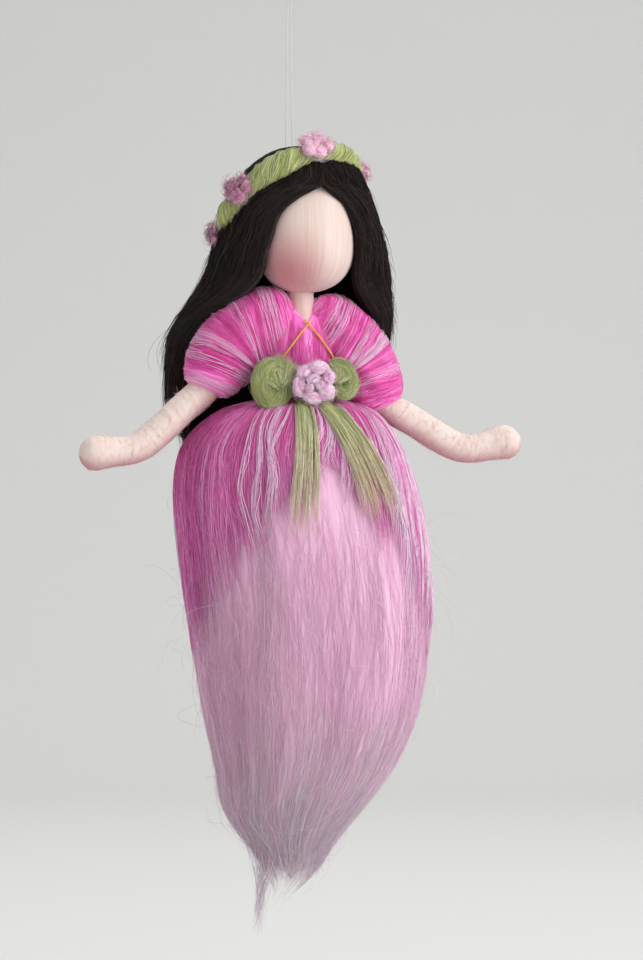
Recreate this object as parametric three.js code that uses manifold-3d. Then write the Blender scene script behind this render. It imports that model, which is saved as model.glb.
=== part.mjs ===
// A faceless felt doll that hangs on a doubled thread: wool head, long hair with a flower wreath,
// puffed sleeves, sash with a bow, two layers of skirt, and arms wound on one bendable wire.
// Millimetres, +Z up, the doll faces -Y, its left is +X. Origin: inside top of the thread's eye.

import * as THREE from "three";
import { mergeVertices } from "three/addons/utils/BufferGeometryUtils.js";
import Module from "manifold-3d";

// Clearances
const clearance = 0.3;
const movingClearance = 0.5;

// Hanging thread
const threadDiameter = 0.3;
const eyeRadius = 1.5;
const knotRadius = 0.75;
const knotHeight = 1.1;
const strandTopSpread = 0.75;
const strandCrownSpread = 2;

// Heights below the eye
const crownZ = -43.6;
const chinZ = -86.6;
const collarZ = -87.6;
const waistZ = -115.8;

// Place of the body's own axis beside the thread
const bodyX = 2;
const bodyY = -4;

// Head
const headTurnDegrees = 10;
const headForward = 4.6;
const headHalfWidth = 13.8;
const headHalfDepth = 13.4;
const headHeight = 36;
const skinThickness = 1.6;
const neckRadius = 3.7;
const neckDepth = 9.5;

// Hair
const hairHalfWidth = 32.4;
const hairFallLength = 54;
const partingGap = 0.3;
const faceOpeningHalfWidth = 12.4;
const faceOpeningSideways = -2.1;
const faceOpeningHeight = 31;

// Wreath
const wreathRadius = 2.7;
const wreathHalfWidth = 20;
const wreathHalfDepth = 21.2;
const wreathTiltDegrees = 38;
const wreathRollDegrees = -12;
const wreathCentreDrop = 18;
const wreathBack = 1.5;
const wreathSideways = -2.4;
const wreathFlowerRadius = 5;
const wreathFlowerHeight = 3.2;
const wreathFlowerTurns = [-115, -67, 0, 68, 112, 156, -160];
const wreathSwelling = 0.4;
const wreathSwellReachDegrees = 30;

// Torso
const chestHalfWidth = 12;
const chestHalfDepth = 10.4;
const waistHalfWidth = 9.2;
const waistHalfDepth = 8.4;
const coreRadius = 6.4;
const coreBelowWaist = 24;
const neckOpeningWidth = 8.6;
const neckOpeningDepth = 7.4;

// Sleeves
const sleeveStartOut = 5.2;
const sleeveStartZ = -89.8;
const sleeveHalfWidth = 9.7;
const sleeveHalfDepth = 9.3;
const sleeveBulge = { left: 3.6, right: 6 };
const cuffHalfWidth = 6.1;
const cuffPastPivot = 2.2;

// Arms
const leftShoulderOut = 22.4;
const rightShoulderOut = 26;
const shoulderForward = 1;
const rightShoulderZ = -112;
const leftShoulderZ = -116.2;
const upperArmLength = 27.6;
const forearmLength = 12.9;
const shoulderBallRadius = 3.8;
const elbowRadius = 4.1;
const handRadius = 4.4;
const armForwardDegrees = 7;
const rightArmDropDegrees = 41.5;
const leftArmDropDegrees = 31;
const rightElbowBendDegrees = 37;
const leftElbowBendDegrees = 42;
const raiseRange = [-6, 36];
const swingRange = [-20, 20];
const elbowRange = [-40, 50];
const cuffDepth = 16;
const wireRadius = 0.5;
const shoulderWireLength = 4;
const wireRise = 12;
const wireEndCover = 2.2;

// Gold thread
const goldRadius = 0.28;
const goldCrossZ = -94.6;

// Sash, bow and waist flower
const sashRadius = 1.7;
const sashZ = -113.8;
const bowZ = -112.4;
const bowKnotRadius = 3.4;
const bowLoopRadius = 2.5;
const bowLoopLength = 10.4;
const bowLoopHalfWidth = 2.9;
const bowLoopHalfHeight = { left: 3.7, right: 4.6 };
const bowLoopLeanDegrees = { left: 20, right: 4 };
const bowLoopLift = { left: 1.6, right: 0.2 };
const bowTailLength = { left: 34.4, right: 37 };
const bowTailStartX = { left: 2.6, right: -3.2 };
const bowTailEndX = { left: 20, right: -6.8 };
const bowTailHalfWidth = 4.2;
const bowTailHalfThickness = 0.9;
const waistFlowerRadius = 6.4;
const waistFlowerHeight = 4.6;

// Skirts
const skirtLength = 137;
const skirtHalfWidth = 33;
const skirtDepthShare = 0.82;
const skirtFolds = 7;
const skirtFoldDepth = 0.9;
const overskirtThickness = 1.5;
const overskirtFrontLength = 30;
const overskirtSideLength = 70;
const overskirtBackDrop = 45;
const overskirtRagging = 9;

const wasm = await Module();
wasm.setup();

const turn = (degrees) => THREE.MathUtils.degToRad(degrees);
const up = new THREE.Vector3(0, 0, 1);

// Smooth value of each column of a table at t; the first column is t and rises down the table
function along(rows, t) {
  const last = rows.length - 1;
  let i = 0;
  while (i < last - 1 && t > rows[i + 1][0]) {
    i += 1;
  }
  const before = rows[Math.max(i - 1, 0)];
  const a = rows[i];
  const b = rows[i + 1];
  const after = rows[Math.min(i + 2, last)];
  const span = b[0] - a[0];
  const s = THREE.MathUtils.clamp((t - a[0]) / span, 0, 1);
  return a.slice(1).map((value, k) => {
    const c = k + 1;
    const leave = ((b[c] - before[c]) / Math.max(b[0] - before[0], 1e-9)) * span;
    const reach = ((after[c] - a[c]) / Math.max(after[0] - a[0], 1e-9)) * span;
    const s2 = s * s;
    const s3 = s2 * s;
    const start = (2 * s3 - 3 * s2 + 1) * value + (s3 - 2 * s2 + s) * leave;
    return start + (3 * s2 - 2 * s3) * b[c] + (s3 - s2) * reach;
  });
}

// Surface over rings of equally many points, each turning left as seen from the far end.
// It is capped with a point at both ends, or joined end to end where looped.
function loft(rings, looped = false) {
  const sides = rings[0].length;
  const points = rings.flat();
  const faces = [];
  const spans = looped ? rings.length : rings.length - 1;
  for (let i = 0; i < spans; i += 1) {
    const low = i * sides;
    const high = ((i + 1) % rings.length) * sides;
    for (let j = 0; j < sides; j += 1) {
      const k = (j + 1) % sides;
      faces.push(low + j, low + k, high + k, low + j, high + k, high + j);
    }
  }
  if (!looped) {
    const middle = (ring) => {
      const sum = ring.reduce((total, p) => total.add(p), new THREE.Vector3());
      return sum.divideScalar(sides);
    };
    const first = points.length;
    points.push(middle(rings[0]), middle(rings[rings.length - 1]));
    const base = (rings.length - 1) * sides;
    for (let j = 0; j < sides; j += 1) {
      const k = (j + 1) % sides;
      faces.push(first, k, j, first + 1, base + j, base + k);
    }
  }
  const geometry = new THREE.BufferGeometry().setFromPoints(points);
  geometry.setIndex(faces);
  return geometry;
}

// Closed geometry as a solid that can be cut and joined
function solidOf(geometry) {
  const bare = geometry.clone();
  bare.deleteAttribute("normal");
  bare.deleteAttribute("uv");
  const merged = mergeVertices(bare, 1e-4);
  const mesh = new wasm.Mesh({
    numProp: 3,
    vertProperties: merged.attributes.position.array,
    triVerts: new Uint32Array(merged.index.array),
  });
  return new wasm.Manifold(mesh);
}

// Upright form from level rings: rows of share down, middle x, middle y, half width, half depth
function uprightForm(rows, topZ, length, { grow = 0, sides = 28, ripple = () => 0 } = {}) {
  const last = rows.length - 1;
  const rings = rows.map(([share, x, y, halfWidth, halfDepth], i) => {
    const past = i === 0 ? grow : i === last ? -grow : 0;
    const z = topZ - share * length + past;
    return Array.from({ length: sides }, (_, j) => {
      const angle = (2 * Math.PI * j) / sides;
      const out = grow + ripple(angle, share);
      return new THREE.Vector3(
        x + (Math.max(halfWidth, 0.05) + out) * Math.cos(angle),
        y + (Math.max(halfDepth, 0.05) + out) * Math.sin(angle),
        z,
      );
    });
  });
  return solidOf(loft(rings.reverse()));
}

// Limb form along a curve: section(t) gives its two half widths, the first across `side`.
// A power under 1 makes the section squarer.
function limbForm(curve, section, side, settings = {}) {
  const { steps = 12, sides = 16, grow = 0, looped = false, power = 1 } = settings;
  const count = looped ? steps : steps + 1;
  const rings = Array.from({ length: count }, (_, i) => {
    const t = i / steps;
    const point = curve.getPointAt(t);
    const ahead = curve.getTangentAt(t);
    const across = side.clone().addScaledVector(ahead, -side.dot(ahead)).normalize();
    const other = new THREE.Vector3().crossVectors(ahead, across);
    const [a, b] = section(t);
    if (!looped && i === 0) {
      point.addScaledVector(ahead, -grow);
    }
    if (!looped && i === steps) {
      point.addScaledVector(ahead, grow);
    }
    return Array.from({ length: sides }, (_, j) => {
      const angle = (2 * Math.PI * j) / sides;
      const wide = Math.sign(Math.cos(angle)) * Math.abs(Math.cos(angle)) ** power;
      const deep = Math.sign(Math.sin(angle)) * Math.abs(Math.sin(angle)) ** power;
      const place = point.clone().addScaledVector(across, (a + grow) * wide);
      return place.addScaledVector(other, (b + grow) * deep);
    });
  });
  return solidOf(loft(rings, looped));
}

// Round tube of a given section along a curve
function tubeForm(curve, radius, steps, sides = 8) {
  const section = new THREE.Shape();
  for (let j = 0; j < sides; j += 1) {
    const angle = (2 * Math.PI * j) / sides;
    if (j === 0) {
      section.moveTo(radius, 0);
    } else {
      section.lineTo(radius * Math.cos(angle), radius * Math.sin(angle));
    }
  }
  const settings = { steps, extrudePath: curve, bevelEnabled: false, curveSegments: 1 };
  return solidOf(new THREE.ExtrudeGeometry(section, settings));
}

function lineBetween(a, b) {
  return new THREE.LineCurve3(a, b);
}

function ballForm(radius, place, detail = 12) {
  const ball = new THREE.SphereGeometry(radius, detail, Math.round(detail * 0.7));
  return solidOf(ball).translate([place.x, place.y, place.z]);
}

function boxForm(width, depth, height, matrix) {
  return solidOf(new THREE.BoxGeometry(width, depth, height).applyMatrix4(matrix));
}

function moved(solid, matrix) {
  return solid.transform(matrix.elements);
}

function turnAbout(pivot, axis, degrees) {
  const there = new THREE.Matrix4().makeTranslation(pivot.x, pivot.y, pivot.z);
  const back = new THREE.Matrix4().makeTranslation(-pivot.x, -pivot.y, -pivot.z);
  const spin = new THREE.Matrix4().makeRotationAxis(axis, turn(degrees));
  return there.multiply(spin).multiply(back);
}

function cutBy(solid, ...tools) {
  return tools.reduce((left, tool) => left.subtract(tool), solid);
}

// Petalled rosette on the plane z = 0, its middle bud at the origin's top
function rosetteForm(radius, height, petals = 5) {
  const sides = petals * 3;
  const rows = [
    [0.66, -0.3],
    [1, 0.3],
    [0.68, 0.7],
    [0.4, 0.5],
    [0.3, 0.88],
  ];
  const rings = rows.map(([out, rise], i) =>
    Array.from({ length: sides }, (_, j) => {
      const angle = (2 * Math.PI * j) / sides;
      const lobe = Math.abs(Math.cos((petals * angle) / 2));
      const notch = i < 3 ? 0.7 + 0.3 * Math.sqrt(lobe) : 1;
      const lift = i > 0 && i < 3 ? 0.75 + 0.25 * lobe : 1;
      const far = radius * out * notch;
      return new THREE.Vector3(far * Math.cos(angle), far * Math.sin(angle), height * rise * lift);
    }),
  );
  return solidOf(loft(rings));
}

function faceAlong(place, normal, roll = 0) {
  const spin = new THREE.Quaternion().setFromUnitVectors(up, normal.clone().normalize());
  const own = new THREE.Quaternion().setFromAxisAngle(up, roll);
  return new THREE.Matrix4().compose(place, spin.multiply(own), new THREE.Vector3(1, 1, 1));
}

// Frames: the body's axis, and the head turned on it
const bodyPlace = new THREE.Matrix4().makeTranslation(bodyX, bodyY, 0);
const headPlace = bodyPlace.clone().multiply(new THREE.Matrix4().makeRotationZ(turn(headTurnDegrees)));
const inBody = (x, y, z) => new THREE.Vector3(x, y, z).applyMatrix4(bodyPlace);
const inHead = (x, y, z) => new THREE.Vector3(x, y, z).applyMatrix4(headPlace);
const facing = new THREE.Vector3(0, -1, 0).transformDirection(headPlace);

// Head: an egg, narrow at the crown and full above the chin, on a round neck
const headTopZ = chinZ + headHeight;
const eggRows = [
  [0, 0.12],
  [0.03, 0.34],
  [0.1, 0.58],
  [0.25, 0.85],
  [0.45, 0.98],
  [0.62, 1],
  [0.78, 0.92],
  [0.9, 0.72],
  [0.96, 0.52],
  [1, 0.3],
];
function headEgg(grow, thinner = 0) {
  const rows = eggRows.map(([share, size]) => {
    const drawnBack = headForward * (1 - 0.55 * share ** 8);
    return [share, 0, -drawnBack, headHalfWidth * size - thinner, headHalfDepth * size - thinner];
  });
  const top = headTopZ - thinner * 0.6;
  const egg = uprightForm(rows, top, top - chinZ - thinner * 0.8, { grow, sides: 16 });
  return moved(egg, headPlace);
}
function neckColumn(radius, grow, bottom) {
  const top = chinZ + 5;
  const curve = lineBetween(inBody(0, -0.6, bottom), inBody(0, -0.6, top));
  return limbForm(curve, () => [radius, radius], new THREE.Vector3(1, 0, 0), { steps: 1, sides: 12, grow });
}
const neckBottomZ = chinZ - neckDepth;
const headCore = headEgg(0, skinThickness).add(neckColumn(neckRadius - 1.5, 0, neckBottomZ + 2));
const headSkin = cutBy(
  headEgg(0).add(neckColumn(neckRadius, 0, neckBottomZ)),
  headEgg(clearance, skinThickness),
  neckColumn(neckRadius - 1.5, clearance, neckBottomZ - 1),
);

// Torso core: the wool column that skirts and bodice are tied on
const torsoCoreTopZ = neckBottomZ - 2 * clearance;
function torsoColumn(grow) {
  const rows = [
    [0, 0, 0, coreRadius * 0.6, coreRadius * 0.6],
    [0.15, 0, 0, coreRadius, coreRadius],
    [0.7, 0, 0, coreRadius, coreRadius],
    [0.93, 0, 0, coreRadius * 0.8, coreRadius * 0.8],
    [1, 0, 0, coreRadius * 0.3, coreRadius * 0.3],
  ];
  const length = torsoCoreTopZ - waistZ + coreBelowWaist;
  return moved(uprightForm(rows, torsoCoreTopZ, length, { grow, sides: 12 }), bodyPlace);
}

// Sleeves: a puff of roving from the neck to a cuff just past the arm's pivot
const sideOf = { left: 1, right: -1 };
const shoulderZ = { left: leftShoulderZ, right: rightShoulderZ };
const shoulderX = { left: leftShoulderOut, right: -rightShoulderOut };
function shoulderPivot(name) {
  return inBody(shoulderX[name], -shoulderForward, shoulderZ[name]);
}
function sleeveForm(name, grow) {
  const side = sideOf[name];
  const start = inBody(side * sleeveStartOut, 0, sleeveStartZ);
  const pivot = shoulderPivot(name);
  const way = pivot.clone().sub(start).normalize();
  const end = pivot.clone().addScaledVector(way, cuffPastPivot);
  const outward = new THREE.Vector3(-way.z * side, 0, way.x * side).normalize();
  const bulge = start.clone().lerp(end, 0.5).addScaledVector(outward, sleeveBulge[name]);
  const curve = new THREE.QuadraticBezierCurve3(start, bulge, end);
  const rows = [
    [0, 0.3],
    [0.06, 0.52],
    [0.18, 0.74],
    [0.4, 0.96],
    [0.62, 1],
    [0.8, 0.93],
    [0.93, 0.76],
    [1, cuffHalfWidth / sleeveHalfWidth],
  ];
  const section = (t) => {
    const [size] = along(rows, t);
    return [sleeveHalfWidth * size, sleeveHalfDepth * size];
  };
  return limbForm(curve, section, outward, { steps: 8, sides: 16, grow });
}

// Bodice: wrapped round the core, high at the collar, with a V neck in front
const bodiceTopZ = collarZ;
const bodiceBottomZ = waistZ + clearance;
function bodiceSize(z) {
  const rows = [
    [0, 0.42, 0.5],
    [0.1, 0.62, 0.68],
    [0.25, 0.86, 0.88],
    [0.48, 1, 1],
    [0.75, 0.92, 0.94],
    [1, waistHalfWidth / chestHalfWidth, waistHalfDepth / chestHalfDepth],
  ];
  const share = (bodiceTopZ - z) / (bodiceTopZ - bodiceBottomZ);
  const [wide, deep] = along(rows, share);
  return [chestHalfWidth * wide, chestHalfDepth * deep];
}
function bodiceForm(grow) {
  const rows = [0, 0.08, 0.2, 0.4, 0.6, 0.8, 1].map((share) => {
    const [wide, deep] = bodiceSize(bodiceTopZ - share * (bodiceTopZ - bodiceBottomZ));
    return [share, 0, 0, wide, deep];
  });
  const length = bodiceTopZ - bodiceBottomZ;
  return moved(uprightForm(rows, bodiceTopZ, length, { grow, sides: 20 }), bodyPlace);
}
function neckOpening() {
  const wedge = new THREE.Shape();
  wedge.moveTo(-neckOpeningWidth / 2, 4);
  wedge.lineTo(neckOpeningWidth / 2, 4);
  wedge.lineTo(neckOpeningWidth / 2, 0);
  wedge.lineTo(0, -neckOpeningDepth);
  wedge.lineTo(-neckOpeningWidth / 2, 0);
  const depth = chestHalfDepth + 4;
  const cut = new THREE.ExtrudeGeometry(wedge, { depth, bevelEnabled: false });
  cut.rotateX(Math.PI / 2);
  cut.translate(bodyX, bodyY - neckRadius * 0.6, bodiceTopZ);
  return solidOf(cut);
}

// Arms: a ball at the shoulder, a swelling upper arm, an elbow, a forearm and a rounded hand
const dropDegrees = { left: leftArmDropDegrees, right: rightArmDropDegrees };
const bendDegrees = { left: leftElbowBendDegrees, right: rightElbowBendDegrees };
function armFrame(name) {
  const side = sideOf[name];
  const ahead = turn(armForwardDegrees);
  const out = new THREE.Vector3(side * Math.cos(ahead), -Math.sin(ahead), 0);
  const raiseAxis = new THREE.Vector3().crossVectors(out, up);
  const pivot = shoulderPivot(name);
  const upperWay = out.clone().applyAxisAngle(raiseAxis, turn(-dropDegrees[name]));
  const foreWay = upperWay.clone().applyAxisAngle(raiseAxis, turn(bendDegrees[name]));
  const elbow = pivot.clone().addScaledVector(upperWay, upperArmLength);
  const wrist = elbow.clone().addScaledVector(foreWay, forearmLength);
  return { pivot, raiseAxis, upperWay, foreWay, elbow, wrist };
}
function upperArmForm(name, grow) {
  const { pivot, raiseAxis, elbow } = armFrame(name);
  const section = (t) => {
    const radius = THREE.MathUtils.lerp(shoulderBallRadius, elbowRadius, t);
    return [radius, radius];
  };
  const shaft = limbForm(lineBetween(pivot, elbow), section, raiseAxis, { steps: 3, sides: 12, grow });
  return shaft.add(ballForm(shoulderBallRadius + grow, pivot));
}
function forearmForm(name, grow) {
  const { raiseAxis, elbow, wrist } = armFrame(name);
  const section = (t) => {
    const [radius] = along([[0, elbowRadius], [0.45, elbowRadius * 0.97], [1, handRadius]], t);
    return [radius, radius];
  };
  const shaft = limbForm(lineBetween(elbow, wrist), section, raiseAxis, { steps: 3, sides: 12, grow });
  return shaft.add(ballForm(elbowRadius + grow, elbow)).add(ballForm(handRadius + grow, wrist));
}
// Room in the cuff for every direction that the arm takes about its pivot
function shoulderMouth(name) {
  const { pivot, raiseAxis, upperWay } = armFrame(name);
  const [low, high] = raiseRange;
  const middle = upperWay.clone().applyAxisAngle(raiseAxis, turn((low + high) / 2));
  const tall = Math.tan(turn((high - low) / 2 + 4));
  const wide = Math.tan(turn((swingRange[1] - swingRange[0]) / 2 + 4));
  const radius = shoulderBallRadius + movingClearance;
  const start = pivot.clone().addScaledVector(middle, -shoulderBallRadius / 2);
  const end = pivot.clone().addScaledVector(middle, cuffDepth);
  const section = (t) => [radius + wide * cuffDepth * t, radius + tall * cuffDepth * t];
  return limbForm(lineBetween(start, end), section, raiseAxis, { steps: 1, sides: 16, power: 0.5 });
}
// Room at the end of the upper arm for the forearm's whole bend
function elbowRelief(name) {
  const { raiseAxis, elbow, foreWay } = armFrame(name);
  const reach = elbowRadius * 2.4;
  const side = elbowRadius + movingClearance;
  const across = new THREE.Vector3().crossVectors(raiseAxis, foreWay);
  const ends = elbowRange.map(turn);
  const outline = new THREE.Shape();
  const toward = (angle, far, off) => {
    return new THREE.Vector2(far, off).rotateAround(new THREE.Vector2(), angle);
  };
  const middle = (ends[0] + ends[1]) / 2;
  outline.setFromPoints([
    new THREE.Vector2(0, 0),
    toward(ends[0], 0, -side),
    toward(ends[0], reach, -side),
    toward(middle, reach * 1.6, 0),
    toward(ends[1], reach, side),
    toward(ends[1], 0, side),
  ]);
  const cut = new THREE.ExtrudeGeometry(outline, { depth: 2 * side, bevelEnabled: false });
  cut.translate(0, 0, -side);
  const axes = new THREE.Matrix4().makeBasis(foreWay, across, raiseAxis);
  cut.applyMatrix4(axes.setPosition(elbow));
  return solidOf(cut);
}
function wireForm(from, to, grow = 0) {
  return tubeForm(lineBetween(from, to), wireRadius + grow, 1, 8);
}

// Skirts: a tulip from the waist to a wisp; rows of share down, drift sideways, half width
const skirtRows = [
  [0, 0, 0.3],
  [0.02, -0.02, 0.56],
  [0.06, -0.05, 0.76],
  [0.11, -0.06, 0.885],
  [0.19, -0.03, 0.965],
  [0.3, 0.03, 1],
  [0.45, 0.08, 1],
  [0.57, 0.085, 0.96],
  [0.66, 0.08, 0.88],
  [0.75, 0.04, 0.745],
  [0.82, -0.04, 0.62],
  [0.88, -0.08, 0.45],
  [0.93, -0.07, 0.28],
  [0.97, -0.085, 0.15],
  [1, -0.12, 0.075],
  [1.04, -0.24, 0.035],
  [1.1, -0.37, 0.012],
];
const skirtLastShare = skirtRows[skirtRows.length - 1][0];
function skirtFold(angle, share) {
  const reach = Math.min(share / 0.12, 1) * THREE.MathUtils.clamp((1 - share) / 0.3, 0, 1);
  return skirtFoldDepth * reach * Math.sin(skirtFolds * angle + 5 * share);
}
function skirtSection(share) {
  const [drift, size] = along(skirtRows, share);
  const wide = skirtHalfWidth * size;
  return [drift * skirtHalfWidth, 0, wide, wide * skirtDepthShare];
}
function skirtForm(grow, lastShare = skirtLastShare) {
  const shares = Array.from({ length: 19 }, (_, i) => skirtLastShare * (i / 18) ** 1.2);
  const used = shares.filter((share) => share <= lastShare);
  const rows = used.map((share) => [share, ...skirtSection(share)]);
  const settings = { grow, sides: 28, ripple: skirtFold };
  return moved(uprightForm(rows, waistZ, skirtLength, settings), bodyPlace);
}
function skirtFront(x, z, lift) {
  const share = (waistZ - z) / skirtLength;
  const [middle, , wide, deep] = skirtSection(share);
  const out = overskirtThickness + clearance + lift;
  const across = THREE.MathUtils.clamp((x - middle) / (wide + out), -0.95, 0.95);
  return inBody(x, -(deep + out) * Math.sqrt(1 - across * across), z);
}
// All that lies below the ragged hem
function belowHem() {
  const sides = 32;
  const reach = skirtHalfWidth * 2;
  const hem = Array.from({ length: sides }, (_, j) => {
    const angle = (2 * Math.PI * j) / sides;
    const sideways = Math.cos(angle) ** 2;
    const back = Math.max(Math.sin(angle), 0);
    const long = THREE.MathUtils.lerp(overskirtFrontLength, overskirtSideLength, sideways);
    const tooth = j % 2 ? Math.abs(((j * 7) % 10) / 5 - 1) : 0.1;
    return { angle, z: waistZ - long - overskirtBackDrop * back - overskirtRagging * (tooth - 0.4) };
  });
  const ringAt = (radius, depth) => {
    return hem.map(({ angle, z }) => {
      return inBody(radius * Math.cos(angle), radius * Math.sin(angle), depth ?? z);
    });
  };
  return solidOf(loft([ringAt(reach, waistZ - 2 * skirtLength), ringAt(reach), ringAt(1)]));
}
function overskirtForm() {
  const outside = skirtForm(clearance + overskirtThickness, 1);
  return cutBy(outside, skirtForm(clearance, 1), belowHem(), overskirtTop());
}
// The waist's level top, where the skirts are gathered
function overskirtTop() {
  return boxForm(60, 60, 20, new THREE.Matrix4().makeTranslation(bodyX, bodyY, waistZ + 10));
}

// Sash round the waist and the bow tied in it
function sashForm(grow = 0) {
  const ring = new THREE.EllipseCurve(0, 0, 1, 1);
  const points = ring.getPoints(31).slice(0, 31);
  const [wide, deep] = bodiceSize(sashZ);
  const out = sashRadius + clearance;
  const path = points.map((p) => inBody(p.x * (wide + out), p.y * (deep + out), sashZ));
  const curve = new THREE.CatmullRomCurve3(path, true);
  const section = () => [sashRadius, sashRadius * 0.8];
  return limbForm(curve, section, up, { steps: 20, sides: 6, grow, looped: true });
}
const bowFrontY = -(chestHalfDepth + sashRadius);
const bowKnotPlace = inBody(-0.6, bowFrontY - bowKnotRadius * 0.45, bowZ);
function bowLoopForm(name, grow = 0) {
  const side = sideOf[name];
  const lean = turn(bowLoopLeanDegrees[name]);
  const middle = bowKnotPlace.clone().add(new THREE.Vector3(side * bowLoopLength, 0.4, bowLoopLift[name]));
  // Straight sides between round ends: the felt never turns tighter than it is thick
  const straightHalf = bowLoopHalfHeight[name] - bowLoopHalfWidth;
  const path = Array.from({ length: 16 }, (_, i) => {
    const angle = (2 * Math.PI * i) / 16;
    const rise = Math.sin(angle);
    const x = bowLoopHalfWidth * Math.cos(angle);
    const z = bowLoopHalfWidth * rise + straightHalf * THREE.MathUtils.clamp(3 * rise, -1, 1);
    const across = x * Math.cos(lean) - z * Math.sin(lean) * side;
    const tall = x * Math.sin(lean) * side + z * Math.cos(lean);
    return middle.clone().add(new THREE.Vector3(across, 0, tall));
  });
  const curve = new THREE.CatmullRomCurve3(path, true);
  const depth = new THREE.Vector3(0, 1, 0);
  const section = () => [bowLoopRadius, bowLoopRadius * 0.94];
  return limbForm(curve, section, depth, { steps: 15, sides: 8, grow, looped: true });
}
function bowTailForm(name, grow = 0) {
  const topZ = waistZ - 1.2;
  const path = [0, 0.2, 0.45, 0.7, 1].map((t) => {
    const x = THREE.MathUtils.lerp(bowTailStartX[name], bowTailEndX[name], t);
    return skirtFront(x, topZ - bowTailLength[name] * t, bowTailHalfThickness + 2 * clearance);
  });
  const curve = new THREE.CatmullRomCurve3(path);
  const rows = [[0, 0.5], [0.2, 0.8], [0.55, 1], [0.85, 0.8], [1, 0.25]];
  const section = (t) => {
    const [size] = along(rows, t);
    return [bowTailHalfWidth * size, bowTailHalfThickness * (0.6 + 0.4 * size)];
  };
  return limbForm(curve, section, new THREE.Vector3(1, 0, 0), { steps: 10, sides: 10, grow });
}

// Gold thread: from under the far sleeve, crossing below the V, down to the bow
function goldCurve(name) {
  const side = sideOf[name];
  const points = [
    [side * -3.2, goldCrossZ + 3.4],
    [0, goldCrossZ],
    [side * 3.2, goldCrossZ - 3.9],
    [side * 7, goldCrossZ - 8.6],
  ].map(([x, z], i) => {
    const [wide, deep] = bodiceSize(z);
    const lift = goldRadius + clearance + (name === "left" ? 0.15 : 1.05) * (i === 1 ? 1 : 0.4);
    return inBody(x, -(deep + lift) * Math.sqrt(1 - (x / (wide + lift)) ** 2), z);
  });
  return new THREE.CatmullRomCurve3(points);
}

// Hair: rows of share down from the crown, middle x, middle y, half width share, half depth
const hairLength = crownZ - chinZ + hairFallLength;
const hairRows = [
  [0, 1.4, -1.5, 0.05, 1.6],
  [0.006, 1.3, -1.6, 0.17, 6.4],
  [0.02, 1, -1.8, 0.29, 10.6],
  [0.05, 0.7, -2, 0.395, 14],
  [0.09, 0.3, -2, 0.485, 16.2],
  [0.13, 0, -2, 0.55, 17.6],
  [0.22, -0.4, -1, 0.66, 18.4],
  [0.31, 0.4, 0, 0.735, 18.6],
  [0.4, 0, 2, 0.8, 17.6],
  [0.465, -1, 5, 0.875, 16.4],
  [0.52, -1.8, 8, 0.945, 15],
  [0.6, -2.2, 12, 1, 13.4],
  [0.74, -2.2, 16, 0.99, 13],
  [0.86, -1.6, 21, 0.84, 11],
  [0.95, -1, 24.4, 0.56, 7.4],
  [1, -0.5, 26, 0.2, 2.6],
];
function hairMass(grow = 0) {
  const rows = hairRows.map(([share, x, y, wide, deep]) => [share, x, y, wide * hairHalfWidth, deep]);
  const strand = (angle, share) => 0.4 * Math.min(share * 6, 1) * Math.sin(7 * angle + 9 * share);
  const settings = { grow, sides: 28, ripple: strand };
  return moved(uprightForm(rows, crownZ, hairLength, settings), bodyPlace);
}
function faceOpening() {
  const egg = new THREE.Shape();
  const points = Array.from({ length: 28 }, (_, i) => {
    const angle = (2 * Math.PI * i) / 28;
    const low = Math.sin(angle) < 0;
    const tall = low ? 0.62 : 0.38;
    const pinch = low ? 1 : 1 - 0.28 * Math.sin(angle) ** 3;
    return new THREE.Vector2(
      faceOpeningHalfWidth * Math.cos(angle) * pinch,
      faceOpeningHeight * (1 - tall) * Math.sin(angle),
    );
  });
  egg.setFromPoints(points);
  const cut = new THREE.ExtrudeGeometry(egg, { depth: 40, bevelEnabled: false });
  cut.rotateX(Math.PI / 2);
  cut.translate(faceOpeningSideways, -headForward, headTopZ - 6.4 - faceOpeningHeight * 0.62);
  cut.applyMatrix4(headPlace);
  return solidOf(cut);
}

// Wreath: a tilted oval round the hair, high in front
const wreathCentre = inHead(wreathSideways, wreathBack, crownZ - wreathCentreDrop);
const wreathTurn = new THREE.Matrix4()
  .makeRotationZ(turn(headTurnDegrees))
  .multiply(new THREE.Matrix4().makeRotationX(-turn(wreathTiltDegrees)))
  .multiply(new THREE.Matrix4().makeRotationY(turn(wreathRollDegrees)));
function wreathPoint(degrees, out = 0) {
  const angle = turn(degrees - 90);
  const flat = new THREE.Vector3(
    (wreathHalfWidth + out) * Math.cos(angle),
    (wreathHalfDepth + out) * Math.sin(angle),
    0,
  );
  return flat.applyMatrix4(wreathTurn).add(wreathCentre);
}
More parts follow.
